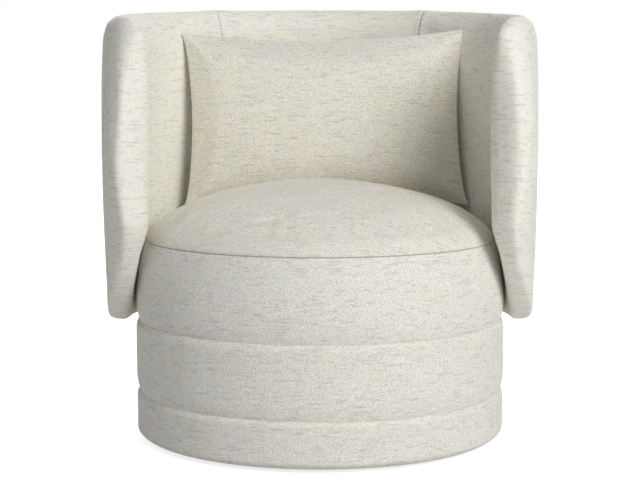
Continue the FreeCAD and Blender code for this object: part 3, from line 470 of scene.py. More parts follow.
def sewing_thread(name):
    """Matt twisted thread, a shade darker than the fabric."""
    material, tree = new_material(name)
    _, (x, y, z) = object_place(tree)
    twist = ((x + y + z) * (math.pi / THREAD_TWIST)).sin() * 0.5 + 0.5
    colour = tones(tree, twist, (0.2, (0.42, 0.39, 0.33)), (0.8, (0.66, 0.63, 0.56)))
    return finish_material(material, colour, 0.7, twist, 0.1 * MM, 0.4)


# Mesh making
WELD = 0.02 * MM
CLOTH_FRAMES = 20
CLOTH_STRETCH = 15.0


def face_corners(i, j):
    """Rows and columns of the four corners of one face of a grid."""
    return (i, j), (i, j + 1), (i + 1, j + 1), (i + 1, j)


def close_skin(mesh):
    """Weld the borders that meet, and turn the faces outwards."""
    bmesh.ops.remove_doubles(mesh, verts=mesh.verts, dist=WELD)
    bmesh.ops.recalc_face_normals(mesh, faces=mesh.faces)
    if mesh.calc_volume(signed=True) < 0:
        bmesh.ops.reverse_faces(mesh, faces=mesh.faces)


def lattice(name, sheets, maps, material):
    """One closed mesh from grids of points, each with its own grid of weave places."""
    mesh = bmesh.new()
    layer = mesh.loops.layers.uv.new(WEAVE_MAP)
    for points, weave in zip(sheets, maps):
        verts = [[mesh.verts.new(point) for point in row] for row in points]
        for i, j in np.ndindex(len(verts) - 1, len(verts[0]) - 1):
            corners = face_corners(i, j)
            face = mesh.faces.new([verts[row][column] for row, column in corners])
            for loop, (row, column) in zip(face.loops, corners):
                loop[layer].uv = weave[row][column]
    close_skin(mesh)
    return to_object(name, mesh, material)


def circle(radius, height, columns, start=0.0):
    """A level ring of points round the swivel axis, with its first point again at its end."""
    return [Vector((math.cos(angle) * radius, math.sin(angle) * radius, height))
            for angle in np.linspace(start, start + 2 * math.pi, columns + 1)]


def turned_solid(name, outline, columns, material):
    """A closed form turned round the swivel axis, from an outline that starts and ends on it."""
    points = [circle(radius, height, columns) for radius, height in outline]
    blank = [[(0.0, 0.0)] * (columns + 1) for _ in outline]
    return lattice(name, [points], [blank], material)


def walked(line, start):
    """Distance along a line of points from one of them, less than zero before it."""
    run = np.concatenate([[0.0], np.cumsum(np.linalg.norm(np.diff(np.array(line), axis=0), axis=1))])
    return run - run[start]


def to_object(name, mesh, material):
    """An object from an edit mesh, smooth shaded."""
    data = bpy.data.meshes.new(name)
    mesh.to_mesh(data)
    mesh.free()
    thing = bpy.data.objects.new(name, data)
    bpy.context.scene.collection.objects.link(thing)
    data.materials.append(material)
    for polygon in data.polygons:
        polygon.use_smooth = True
    return thing


def coordinates(thing):
    """The mesh's points as an array."""
    flat = np.empty(len(thing.data.vertices) * 3)
    thing.data.vertices.foreach_get("co", flat)
    return flat.reshape(-1, 3)


def set_coordinates(thing, points):
    """Write an array of points back to the mesh."""
    thing.data.vertices.foreach_set("co", points.ravel())
    thing.data.update()


def apply_modifiers(thing):
    """Bake the modifiers into the mesh."""
    graph = bpy.context.evaluated_depsgraph_get()
    baked = bpy.data.meshes.new_from_object(thing.evaluated_get(graph))
    old = thing.data
    thing.modifiers.clear()
    thing.data = baked
    baked.name = thing.name
    bpy.data.meshes.remove(old)


def subdivide(thing):
    """Smooth the mesh with one level of subdivision surface and bake it."""
    smooth = thing.modifiers.new("Smooth", "SUBSURF")
    smooth.levels = smooth.render_levels = 1
    smooth.uv_smooth = "PRESERVE_BOUNDARIES"
    apply_modifiers(thing)


def stuff(thing, pinned, pressure, cap, bend):
    """Cloth simulation: the cover swells under its stuffing, up to the cap, held where it is pinned."""
    before = coordinates(thing)
    group = thing.vertex_groups.new(name="Pinned")
    for index, weight in enumerate(pinned):
        if weight > 0:
            group.add([index], float(weight), "REPLACE")
    cloth = thing.modifiers.new("Cloth", "CLOTH")
    fabric = cloth.settings
    fabric.quality = 5
    fabric.mass = 0.3
    fabric.tension_stiffness = fabric.compression_stiffness = CLOTH_STRETCH
    fabric.shear_stiffness = CLOTH_STRETCH / 3
    fabric.bending_stiffness = bend
    fabric.use_pressure = True
    fabric.uniform_pressure_force = pressure
    fabric.vertex_group_mass = group.name
    fabric.effector_weights.gravity = 0
    cloth.collision_settings.use_collision = False
    cloth.collision_settings.use_self_collision = False
    cloth.point_cache.frame_start = 1
    cloth.point_cache.frame_end = CLOTH_FRAMES
    scene = bpy.context.scene
    for step in range(1, CLOTH_FRAMES + 1):
        scene.frame_set(step)
    graph = bpy.context.evaluated_depsgraph_get()
    swollen = thing.evaluated_get(graph).to_mesh()
    after = np.array([vertex.co[:] for vertex in swollen.vertices])
    thing.evaluated_get(graph).to_mesh_clear()
    thing.modifiers.remove(cloth)
    thing.vertex_groups.clear()
    scene.frame_set(1)
    move = after - before
    length = np.linalg.norm(move, axis=1, keepdims=True)
    soft = cap * np.tanh(length / cap)
    share = np.divide(soft, length, out=np.zeros_like(length), where=length > 0)
    set_coordinates(thing, before + move * share)
    print(thing.name, "swelled by", round(float(soft.max()) / MM, 1), "mm")


def drift(point, scale, seed):
    """Slow noise of a place, from about -1 to 1."""
    return noise.noise(Vector(point) * scale + Vector((seed, seed * 1.7, seed * 0.3)))


def along_normals(thing, amount):
    """Move each point along its normal by what amount(place) gives."""
    normals = np.empty(len(thing.data.vertices) * 3)
    thing.data.vertices.foreach_get("normal", normals)
    points = coordinates(thing)
    steps = np.array([amount(point) for point in points])
    set_coordinates(thing, points + normals.reshape(-1, 3) * steps[:, None])


def bump_step(value):
    """Smooth step from 0 to 1."""
    value = np.clip(value, 0, 1)
    return value * value * (3 - 2 * value)


def settle(thing, body, nodes):
    """Hand a finished piece to the frame: its body and the nodes it stands for."""
    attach(thing, body)
    if nodes:
        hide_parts(*nodes)


# Drum
# The weave maps of the turned covers begin behind the chair
BEHIND = -math.pi * 1.5
COVER_INSIDE = 303 * MM
COVER_TUCK = 4 * MM
SEAM_LIP = 2 * MM
FOOT_RADIUS = 328 * MM
FOOT_RISE = 12 * MM
CHANNEL_RISE = 30 * MM
CHANNEL_LIP = 11 * MM
CHANNEL_STEPS = 26
UPPER_STEPS = 32
UPPER_FULL_SHARE = 0.2
UPPER_LEAN = 2.2
UPPER_LESS = 0.3 * MM
SEAT_SEAM_RADIUS = 319.6 * MM
SEAT_SEAM_ROLL = (0.2 * MM, 0.6 * MM)
# How far unevenness and puckers go, and how near to a seam they reach
RIPPLE = 0.9 * MM
PUCKER = 0.35 * MM
SEAM_REACH = 16 * MM
# How far a sewn seam rises and falls, slowly and quickly
SEAM_DRIFT = 0.7 * MM
SEAM_QUIVER = 0.35 * MM


def turned_cover(name, outline, hidden, material, spacing):
    """A cover turned round the swivel axis: its outline is shown, and the hidden run closes it behind."""
    run = walked(outline, 0)
    reach = max(radius for radius, _ in outline)
    columns = round(2 * math.pi * reach / spacing)
    rows = list(zip(outline, run)) + [(spot, run[-1]) for spot in hidden] + [(outline[0], run[0])]
    points = [circle(radius, height, columns, start=BEHIND) for (radius, height), _ in rows]
    around = np.linspace(0, 2 * math.pi * reach, columns + 1)
    weave = [[(place, length) for place in around] for _, length in rows]
    return lattice(name, [points], [weave], material)


def swell_up(share):
    """0 to 1 with its steepest part at the start."""
    return 1 - (1 - min(max(share, 0.0), 1.0)) ** 2


def channel_outline(bottom, top, foot_radius, head_radius, full, rise):
    """Outline of one stuffed channel: it comes in softly to the seam below it, sharply to the one above."""
    tall = top - bottom
    spots = []
    for step in range(CHANNEL_STEPS + 1):
        height = tall * (1 - math.cos(math.pi * step / CHANNEL_STEPS)) / 2
        foot = (full - foot_radius) * (1 - swell_up(height / rise))
        head = (full - head_radius) * (1 - swell_up((tall - height) / CHANNEL_LIP))
        spots.append((full - foot - head, bottom + height))
    return spots


def upper_outline(bottom, top, groove, full):
    """Outline of the tall upper channel: full low down, then drawn in towards the seat's seam."""
    spots = []
    for step in range(UPPER_STEPS + 1):
        share = (1 - math.cos(math.pi * step / UPPER_STEPS)) / 2
        swell = swell_up(share / UPPER_FULL_SHARE)
        lean = max(share - UPPER_FULL_SHARE, 0.0) / (1 - UPPER_FULL_SHARE)
        radius = groove + (full - groove) * swell - (full - SEAT_SEAM_RADIUS) * lean ** UPPER_LEAN
        spots.append((radius, bottom + (top - bottom) * share))
    spots.insert(-1, (spots[-1][0] + SEAT_SEAM_ROLL[0], spots[-1][1] - SEAT_SEAM_ROLL[1]))
    return spots


def channel_ripple(point, seams, seed):
    """Gentle unevenness of a channel's stuffing, and small puckers beside its seams."""
    if math.hypot(point[0], point[1]) < COVER_INSIDE + 5 * MM:
        return 0.0
    near = min(abs(point[2] - seam) for seam in seams)
    angle = math.atan2(point[1], point[0])
    slow = drift(point, 7, seed) * bump_step(near / (18 * MM))
    pucker = drift((angle * 22, point[2] * 18, 0), 1.0, seed) * math.exp(-near / SEAM_REACH)
    return RIPPLE * slow + PUCKER * pucker * bump_step(near / (5 * MM))


class CHAIR_OT_channels(bpy.types.Operator):
    """Make the three stuffed channels round the drum"""
    bl_idname = "chair.channels"
    bl_label = "Drum channels"

    def execute(self, context):
        drum = settings("drum")
        groove = drum.groove_radius
        full = groove + drum.bulge
        hem, first = low("lower_band").z, high("lower_band").z
        second, seam = high("middle_band").z, high("upper_band").z
        lower = channel_outline(hem, first, FOOT_RADIUS, groove, full, FOOT_RISE)
        middle = channel_outline(first, second, groove, groove, full, CHANNEL_RISE)
        upper = upper_outline(second, seam, groove, full - UPPER_LESS)
        channels = (("lower_channel", "lower_band", lower), ("middle_channel", "middle_band", middle),
                    ("upper_channel", "upper_band", upper))
        for seed, (name, band, outline) in enumerate(channels):
            (foot_radius, foot), (head_radius, head) = outline[0], outline[-1]
            hidden = [(head_radius - SEAM_LIP, head), (COVER_INSIDE, head - COVER_TUCK),
                      (COVER_INSIDE, foot + COVER_TUCK), (foot_radius - SEAM_LIP, foot)]
            # The upper channel's cover carries a painted line of shade at the seat's seam
            seam_for_painted_shade = seam if name == "upper_channel" else None
            material = woven_fabric(f"{name}_weave", 3.0 + seed * 11, seam_for_painted_shade)
            piece = turned_cover(name, outline, hidden, material, drum.spacing)
            along_normals(piece, lambda point: channel_ripple(point, (foot, head), seed))
            wander(piece, (foot, head))
            subdivide(piece)
            settle(piece, "chair", [band])
        return {"FINISHED"}


def wander(thing, seams):
    """Let each sewn seam rise and fall a little, alike in the covers on both sides of it."""
    points = coordinates(thing)
    hem, top = low("lower_band").z, high("upper_band").z
    for point in points:
        seam = min(seams, key=lambda height: abs(point[2] - height))
        if seam in (hem, top):
            continue
        angle = math.atan2(point[1], point[0])
        slow = drift((math.cos(angle) * 4, math.sin(angle) * 4, seam * 10), 1.0, 5.0)
        quick = drift((math.cos(angle) * 16, math.sin(angle) * 16, seam * 10), 1.0, 9.0)
        rise = SEAM_DRIFT * slow + SEAM_QUIVER * quick
        point[2] += rise * math.exp(-abs(point[2] - seam) / SEAM_REACH)
    set_coordinates(thing, points)


# Seat
# The cushion's side in millimetres: radius, and height above the seam
SEAT_SIDE = ((320.3, -5), (320.9, 4), (320.6, 10), (318, 17), (313, 24), (305, 31), (295, 36.5))
SEAT_FLOOR_RADIUS = 305 * MM
SEAT_FLOOR_DROP = 7 * MM
SEAT_COLUMNS = 200
CROWN_STEPS = 34
CROWN_ROUND = 0.92
CROWN_SWELL = 3 * MM
CROWN_EDGE = {"height": 36 * MM, "radius": 285 * MM, "fade": 20 * MM}
SEAT_VOXEL = 6 * MM
# The cover is held up to this height above the seam, and is free higher up
SEAT_HELD = {"height": 2 * MM, "fade": 10 * MM}
# A fuller place at the seat's left front
PUFF = {"x": -0.2, "y": -0.17, "spread": 0.012, "height": 6 * MM}
SEAT_WAVE = 2.2 * MM
SEAT_FOLD = {"depth": 2.4 * MM, "width": 0.16}
SEAT_FADE = {"radius": 320 * MM, "side": 60 * MM, "height": 12 * MM}


def seat_outline(seam, top):
    """Outline of the cushion from the middle of its crown, down its side, to the middle of its underside."""
    side = [(radius * MM, seam + height * MM) for radius, height in SEAT_SIDE]
    edge_radius, edge_height = side[-1]
    crown = []
    for step in range(CROWN_STEPS):
        share = step / CROWN_STEPS
        rise = (top - edge_height) * (1 - share ** 2) ** CROWN_ROUND
        crown.append((edge_radius * share, edge_height + rise))
    floor_height = seam - SEAT_FLOOR_DROP
    return crown + side[::-1] + [(SEAT_FLOOR_RADIUS, floor_height), (0.0, floor_height)]


class CHAIR_OT_seat(bpy.types.Operator):
    """Make the crowned seat cushion"""
    bl_idname = "chair.seat"
    bl_label = "Seat cushion"

    def execute(self, context):
        seam = high("upper_band").z
        outline = seat_outline(seam, high("seat_top").z - CROWN_SWELL)
        # The seat's cover carries a painted line of shade along its seam
        material = woven_fabric("seat_weave", 47.0, seam, warm=0.03)
        piece = turned_solid("seat_cushion", outline, SEAT_COLUMNS, material)
        remesh = piece.modifiers.new("Remesh", "REMESH")
        remesh.mode = "VOXEL"
        remesh.voxel_size = SEAT_VOXEL
        remesh.use_smooth_shade = True
        apply_modifiers(piece)
        relax = piece.modifiers.new("Relax", "SMOOTH")
        relax.factor = 0.5
        relax.iterations = 4
        apply_modifiers(piece)
        heights = coordinates(piece)[:, 2]
        pinned = 1 - bump_step((heights - seam - SEAT_HELD["height"]) / SEAT_HELD["fade"])
        stuff(piece, pinned, pressure=3.0, cap=5 * MM, bend=0.3)
        along_normals(piece, lambda point: seat_pulls(point, seam))
        subdivide(piece)
        weave_by(piece, lambda point: crown_weave(point, seam))
        settle(piece, "chair", ["seat_top"])
        return {"FINISHED"}


def seat_pulls(point, seam):
    """Faint pulls in the seat's cover where people have sat, and a fuller place at its left front."""
    radius = math.hypot(point[0], point[1])
    fade = bump_step((SEAT_FADE["radius"] - radius) / SEAT_FADE["side"])
    fade *= bump_step((point[2] - seam) / SEAT_FADE["height"])
    wave = SEAT_WAVE * drift((point[0] * 0.5, point[1] * 1.4, 0), 9, 3.1)
    line = abs(drift((point[0] * 0.7 + point[1] * 0.5, point[1] * 2.4, 1), 8, 7.7))
    fold = SEAT_FOLD["depth"] * max(0.0, 1 - line / SEAT_FOLD["width"])
    away = (point[0] - PUFF["x"]) ** 2 + (point[1] - PUFF["y"]) ** 2
    return fade * (wave - fold + PUFF["height"] * math.exp(-away / PUFF["spread"]))


def crown_weave(point, seam):
    """Weave place on the seat: laid flat over the crown, and down its side without stretch."""
    radius = math.hypot(point[0], point[1])
    down = max(0.0, seam + CROWN_EDGE["height"] - point[2])
    spread = radius + down * bump_step((radius - CROWN_EDGE["radius"]) / CROWN_EDGE["fade"])
    scale = spread / radius if radius > 1 * MM else 1.0
    return point[0] * scale, point[1] * scale


def weave_by(thing, rule):
    """Write the weave map from a rule on each point's place."""
    mesh = thing.data
    layer = mesh.uv_layers.get(WEAVE_MAP) or mesh.uv_layers.new(name=WEAVE_MAP)
    places = [rule(vertex.co) for vertex in mesh.vertices]
    flat = np.array([places[loop.vertex_index] for loop in mesh.loops])
    layer.data.foreach_set("uv", flat.ravel())


# Pillow
PILLOW_HALF = 73 * MM
PILLOW_ROUND = 0.93
PILLOW_WEAVE_STEP = 0.9
PILLOW_RISE = 8 * MM
PILLOW_GROWTH = 1.08
PILLOW_CROWN = 0.6
PILLOW_UNEVEN = 1.6 * MM
FILLING_SIZE = 0.95
FILLING_GAP = 5 * MM


def pillow_form(name, material):
    """The pillow standing upright round the origin: crowned, with sides drawn in between its corners."""
    pillow = settings("pillow")
    wide, tall = pillow.width, pillow.height
    reach = math.pi / 2 * PILLOW_ROUND

    def shares(length):
        """Places from -1 to 1, closer together near the edge."""
        count = round(length / pillow.spacing)
        return np.sin(np.linspace(-reach, reach, count + 1)) / math.sin(reach)

    sheets = []
    maps = []
    for side in (-1, 1):
        points = []
        weave = []
        for up in shares(tall):
            line = []
            places = []
            for across in shares(wide):
                full = ((1 - across ** 2) * (1 - up ** 2)) ** PILLOW_CROWN
                pinch = pillow.side_pinch * (1 - up ** 2) * across
                dip = -pillow.end_pinch * (1 - across ** 2) * abs(up) * up
                line.append(Vector((across * wide / 2 - pinch, side * PILLOW_HALF * full,
                                    up * tall / 2 + dip)))
                places.append((across * wide / 2 + side * PILLOW_WEAVE_STEP, up * tall / 2))
            points.append(line)
            weave.append(places)
        sheets.append(points)
        maps.append(weave)
    return lattice(name, sheets, maps, material)


def stand_pillow(thing):
    """Lean and turn the pillow, and put it against the back."""
    pillow = settings("pillow")
    corner, far = low("pillow_cover"), high("pillow_cover")
    stand = np.array(Euler((-pillow.lean, -pillow.turn, 0)).to_matrix())
    middle = np.array([pillow.shift, (corner.y + far.y) / 2, far.z + PILLOW_RISE - pillow.height / 2])
    set_coordinates(thing, coordinates(thing) @ stand.T + middle)


class CHAIR_OT_pillow(bpy.types.Operator):
    """Make the loose pillow and its filling"""
    bl_idname = "chair.pillow"
    bl_label = "Loose pillow"

    def execute(self, context):
        cover = pillow_form("loose_pillow", woven_fabric("pillow_weave", 71.0, warm=0.03))
        before = coordinates(cover)
        span = np.ptp(before, axis=0)
        stuff(cover, np.zeros(len(before)), pressure=5.0, cap=7 * MM, bend=0.4)
        after = coordinates(cover)
        grown = np.ptp(after, axis=0)
        after *= span / grown
        after[:, 1] *= min(PILLOW_GROWTH, grown[1] / span[1])
        set_coordinates(cover, after)
        along_normals(cover, lambda point: PILLOW_UNEVEN * drift(point, 8, 12.5))
        filling = cover.copy()
        filling.data = cover.data.copy()
        filling.name = filling.data.name = "pillow_filling"
        context.scene.collection.objects.link(filling)
        filling.data.materials[0] = cut_foam("pillow_fibre", (0.9, 0.9, 0.88))
        subdivide(cover)
        stand_pillow(cover)
        settle(cover, "pillow", ["pillow_cover"])
        set_coordinates(filling, coordinates(filling) * FILLING_SIZE)
        along_normals(filling, lambda point: -FILLING_GAP)
        stand_pillow(filling)
        settle(filling, "pillow", ["pillow_insert"])
        return {"FINISHED"}


# Wraparound back
# The wing's front seen from the side: its round top corner, its long sweep to the foot, and the foot
CORNER = {"y": -122 * MM, "below_rim": 96.7 * MM, "bend": 90 * MM}
SWEEP = {"y": 156 * MM, "z": 525 * MM, "bend": 368 * MM}
FOOT_BEND = 45 * MM
FOOT_TUCK = 16 * MM
# Place in front of the axis where the rim has the height that the wings' outline is drawn to
RIM_LEVEL_PLACE = 0.15
# Depth and squareness of the wall's edge, outside and then inside, at the rim, at the foot and on the wings
EDGES = ((48 * MM, 2.0, 60 * MM, 1.9), (11 * MM, 3.0, 42 * MM, 2.2), (23 * MM, 3.6, 44 * MM, 2.5))
RIM_EDGE = {"start": 150 * MM, "fade": 110 * MM}
FOOT_EDGE = {"start": 130 * MM, "fade": 90 * MM}
EDGE_DEPTH = 42 * MM
EDGE_STEPS = 8
BORDER_STEPS = 160
BORDER_SHARES = np.linspace(0, 1, 6)[:-1]
# Half the wall, and how far it swells outside and inside over what reach
WALL_HALF = 27 * MM
OUTER_BARREL = {"swell": 5.6 * MM, "reach": 250 * MM}
INNER_BARREL = {"swell": 5 * MM, "reach": 150 * MM}
# The inside is thinner low down, where it hugs the drum
HUG = {"depth": 8.2 * MM, "start": 345 * MM, "fade": 53 * MM}
# The nose swells and turns inward near the wing's end, below the rim and above the foot
SWELL_PLACE = {"full": 25 * MM, "fade": 120 * MM, "foot": 320 * MM, "growth": 190 * MM}
SLANT_PLACE = {"full": 0.0, "fade": 70 * MM, "foot": 230 * MM, "growth": 200 * MM}
BELOW_RIM = {"start": 10 * MM, "fade": 240 * MM}
# Rows and columns from the border to the outer panel's seam, and how deep the seams lie
SEAM_ROW = 6
SEAM_COLUMN = EDGE_STEPS + 3
SEAM_SINK = 1.3 * MM
RIM_ROWS = 3
RIM_SINK = 1.0 * MM
SEAT_LEVEL = 400 * MM
UNEVEN = 0.9 * MM
FOLD_DEPTH = 2.0 * MM
FOLD_RADIUS = 352 * MM
FOLD_TOP = {"height": 760 * MM, "fade": 60 * MM}
# Degrees round from the side to the hollow and the ridge behind the nose, and their widths
HOLLOW = (18.5, 2.2)
RIDGE = (12.0, 2.6)
COVER_WALL = 3 * MM
COVERS = (
    ("left_wing_cover", ("left_wing_pad", "edge_roll")),
    ("center_back_cover", ("center_back_pad", "edge_roll")),
    ("right_wing_cover", ("right_wing_pad", "edge_roll")),
    ("outer_back_cover", ("outer_back_panel",)),
)
OUTER_COVER = 3


def wing_front(back, bottom, height):
    """Y of the wing's crest at a height."""
    y = -back.middle_radius * math.sin(back.nose_angle)
    corner = height - back.rim_rise + CORNER["below_rim"]
    for past, bend in ((corner, CORNER), (SWEEP["z"] - height, SWEEP)):
        if past > 0:
            gone = min(past, bend["bend"])
            y = max(y, bend["y"] - math.sqrt(bend["bend"] ** 2 - gone ** 2))
    if height < bottom + FOOT_BEND:
        y += FOOT_TUCK * (1 - (height - bottom) / FOOT_BEND) ** 2.4
    return y


def edge_steps():
    """Steps into the round edge, closer at its start."""
    return [EDGE_DEPTH * (1 - math.cos(math.pi / 2 * step / EDGE_STEPS)) for step in range(EDGE_STEPS)]


def edge_run(total, spacing):
    """Steps from 0 to a length, closer at the start where the edge is round."""
    plain = max(2, round((total - EDGE_DEPTH) / spacing))
    return edge_steps() + [EDGE_DEPTH + (total - EDGE_DEPTH) * step / plain for step in range(plain + 1)]


def flat_border(ends, depths):
    """Close points round half of the cover laid flat, all but its middle line."""
    rim = [(place, 0.0) for place in np.linspace(0, ends[0], BORDER_STEPS)]
    foot = [(place, depths[-1]) for place in np.linspace(ends[-1], 0, BORDER_STEPS)]
    border = np.array(rim + list(zip(ends, depths)) + foot)
    return np.concatenate([border[:-1] + (border[1:] - border[:-1]) * share for share in BORDER_SHARES])


def half_wall(depth, barrel, edge_depth, square, full=WALL_HALF):
    """Half the wall at a depth from its edge: an edge from round to square, then a slow barrel."""
    edge = 1 - min(depth / edge_depth, 1.0)
    slow = min(depth / barrel["reach"], 1.0)
    return full * (1 - edge ** square) ** (1 / square) + barrel["swell"] * (1 - (1 - slow) ** 2)


def edge_style(height, rim, foot):
    """Depth and squareness of the wall's edge, outside and then inside, at a height."""
    up = bump_step((height - rim + RIM_EDGE["start"]) / RIM_EDGE["fade"])
    down = bump_step((foot + FOOT_EDGE["start"] - height) / FOOT_EDGE["fade"])
    shares = (up, down, 1 - up - down)
    return [sum(share * value for share, value in zip(shares, values)) for values in zip(*EDGES)]


def nose_share(left, height, place):
    """How much of the wing's nose there is, by what is left to the wing's end and by the height."""
    near = bump_step(1 - (left - place["full"]) / place["fade"])
    return near * bump_step((height - place["foot"]) / place["growth"])


def wall_pair(back, bottom, reach, left, depth_share, gap):
    """The outer and inner point of the wall, by reach round it, depth below the rim and gap to the border."""
    angle = reach / back.middle_radius
    top = back.rim_rise + back.rim_slope * back.middle_radius * math.cos(angle)
    height = bottom + (top - bottom) * (1 - depth_share)
    out_depth, out_square, in_depth, in_square = edge_style(height, back.rim_rise, bottom)
    below_rim = bump_step((top - height + BELOW_RIM["start"]) / BELOW_RIM["fade"])
    swell = back.nose_swell * below_rim * nose_share(left, height, SWELL_PLACE)
    turn = back.nose_slant * below_rim * nose_share(left, height, SLANT_PLACE) / back.middle_radius
    hugged = HUG["depth"] * (1 - bump_step((height - HUG["start"]) / HUG["fade"]))
    outside = half_wall(gap, OUTER_BARREL, out_depth, out_square, WALL_HALF + swell)
    inside = half_wall(gap, INNER_BARREL, in_depth, in_square)
    inside *= 1 - hugged / (WALL_HALF + INNER_BARREL["swell"])
    pair = []
    for half in (outside, -inside):
        around = angle + (1 if reach >= 0 else -1) * turn * half
        radius = back.middle_radius + half
        pair.append(Vector((math.sin(around) * radius, math.cos(around) * radius, height)))
    return pair


def weave_maps(outer_points, inner_points, middle):
    """Weave places of the skin by true distance: inside, on the outer panel, over the rim, round the nose."""
    fallen = walked([line[middle] for line in inner_points], 0)
    weave = {"inner": [], "panel": [], "rim": [], "side": []}
    for outer, inner, down in zip(outer_points, inner_points, fallen):
        inside, outside = walked(inner, middle), walked(outer, middle)
        over = down if down < fallen[-1] / 2 else down - 2 * fallen[-1]
        wrapped = [inside[-1 if j > middle else 0] + outside[-1 if j > middle else 0] - outside[j]
                   for j in range(len(outer))]
        for kind, across, along in (("inner", inside, -down), ("panel", outside, -down),
                                    ("rim", inside, over), ("side", wrapped, -down)):
            weave[kind].append([(place, along) for place in across])
    return weave


def make_back_cover():
    """The whole cover of the back as one closed skin, with the numbers of its seam lines."""
    back = settings("back")
    radius = back.middle_radius
    bottom = low("edge_roll").z
    tall = back.rim_rise - bottom
    depths = edge_run(tall / 2, back.spacing)
    depths = depths[:-1] + [tall - depth for depth in reversed(depths)]
    ends = []
    for depth in depths:
        y = wing_front(back, bottom, back.rim_rise - back.rim_slope * RIM_LEVEL_PLACE - depth)
        ends.append(radius * (math.pi / 2 + math.asin(-y / radius)))
    border = flat_border(ends, depths)
    seam_reach = radius * back.seam_angle
    seam = max(2, round(seam_reach / back.spacing))
    longest = radius * (math.pi / 2 + back.nose_angle)
    wing_columns = round((longest - EDGE_DEPTH - seam_reach) / back.spacing)
    outer_points, inner_points = [], []
    for depth, end in zip(depths, ends):
        half_row = list(np.linspace(0, seam_reach, seam + 1))
        half_row += list(np.linspace(seam_reach, end - EDGE_DEPTH, wing_columns + 1))[1:]
        half_row += [end - gone for gone in reversed(edge_steps())]
        pairs = []
        for reach in [-reach for reach in reversed(half_row)] + half_row[1:]:
            on_border = depth in (depths[0], depths[-1]) or abs(reach) == half_row[-1]
            gap = 0.0 if on_border else np.sqrt(((border - (abs(reach), depth)) ** 2).sum(1).min())
            pairs.append(wall_pair(back, bottom, reach, end - abs(reach), depth / tall, gap))
        outer_points.append([outer for outer, _ in pairs])
        inner_points.append([inner for _, inner in pairs])
    middle = seam + wing_columns + EDGE_STEPS
    return {
        "outer": outer_points, "inner": inner_points, "weave": weave_maps(outer_points, inner_points, middle),
        "rows": len(depths), "columns": 2 * middle + 1, "left": middle - seam, "right": middle + seam,
        "last_row": len(depths) - 1 - SEAM_ROW, "last_column": 2 * middle - SEAM_COLUMN,
    }


def on_seam(plan, inside, i, j):
    """Whether a point of the skin lies on an upright seam or on the edge of the outer panel."""
    if j in (plan["left"], plan["right"]) and (inside or not SEAM_ROW < i < plan["last_row"]):
        return True
    on_panel = SEAM_ROW <= i <= plan["last_row"] and SEAM_COLUMN <= j <= plan["last_column"]
    on_edge = i in (SEAM_ROW, plan["last_row"]) or j in (SEAM_COLUMN, plan["last_column"])
    return not inside and on_panel and on_edge


def weave_kind(plan, inside, i, j):
    """Which weave map a face of the skin follows."""
    if inside:
        return "inner"
    if not SEAM_COLUMN <= j < plan["last_column"]:
        return "side"
    return "panel" if SEAM_ROW <= i < plan["last_row"] else "rim"


def back_skin(material):
    """The skin of the whole back with its seams sunk, and what holds each of its points in the simulation."""
    plan = make_back_cover()
    mesh = bmesh.new()
    weave = mesh.loops.layers.uv.new(WEAVE_MAP)
    share = mesh.faces.layers.int.new("cover")
    pin = mesh.verts.layers.float.new("pin")
    for inside, points in ((False, plan["outer"]), (True, plan["inner"])):
        grid = [[mesh.verts.new(point) for point in row] for row in points]
        for i, j in np.ndindex(plan["rows"], plan["columns"]):
            point = grid[i][j].co
            sewn = on_seam(plan, inside, i, j)
            grid[i][j][pin] = float(sewn or inside and point.z < SEAT_LEVEL)
            if sewn and 0 < i < plan["rows"] - 1 and 0 < j < plan["columns"] - 1:
                inward = -SEAM_SINK if inside else SEAM_SINK
                point.xy *= 1 - inward / math.hypot(point.x, point.y)
            if sewn and i <= RIM_ROWS:
                point.z -= RIM_SINK
        for i, j in np.ndindex(plan["rows"] - 1, plan["columns"] - 1):
            corners = face_corners(i, j)
            face = mesh.faces.new([grid[row][column] for row, column in corners])
            kind = weave_kind(plan, inside, i, j)
            for loop, (row, column) in zip(face.loops, corners):
                loop[weave].uv = plan["weave"][kind][row][column]
            face[share] = OUTER_COVER if kind == "panel" else (j >= plan["left"]) + (j >= plan["right"])
    close_skin(mesh)
    pinned = np.array([vert[pin] for vert in mesh.verts])
    return to_object("back_cover", mesh, material), pinned


class CHAIR_OT_back(bpy.types.Operator):
    """Make the covers of the wraparound back"""
    bl_idname = "chair.back"
    bl_label = "Back covers"

    def execute(self, context):
        # The back's cover is painted paler than the other covers: painted light for its brighter lit inside
        material = woven_fabric("back_weave", 91.0, pale=0.3, warm=0.03)
        cover, pinned = back_skin(material)
        stuff(cover, pinned, pressure=2.0, cap=2.5 * MM, bend=0.4)
        along_normals(cover, wing_folds)
        subdivide(cover)
        for number, (name, nodes) in enumerate(COVERS):
            piece = take_cover(cover, name, number, material)
            settle(piece, "chair", nodes)
        bpy.data.objects.remove(cover)
        return {"FINISHED"}


def wing_folds(point):
    """Soft upright folds behind the wing's nose on its inner face, and slow unevenness all over."""
    slow = UNEVEN * drift(point, 6, 31.0)
    if math.hypot(point[0], point[1]) > FOLD_RADIUS or point[2] < SEAT_LEVEL:
        return slow
    angle = math.degrees(math.atan2(-point[1], abs(point[0])))
    side = 1.0 if point[0] < 0 else -0.6
    wobble = 2.0 * drift((0, point[2] * 5, side), 1.0, 4.0)
    fade = bump_step((FOLD_TOP["height"] - point[2]) / FOLD_TOP["fade"])
    hollow = math.exp(-((angle - HOLLOW[0] - wobble) / HOLLOW[1]) ** 2)
    ridge = math.exp(-((angle - RIDGE[0] - 1.5 * wobble) / RIDGE[1]) ** 2)
    return slow - FOLD_DEPTH * fade * (hollow - 0.7 * ridge)


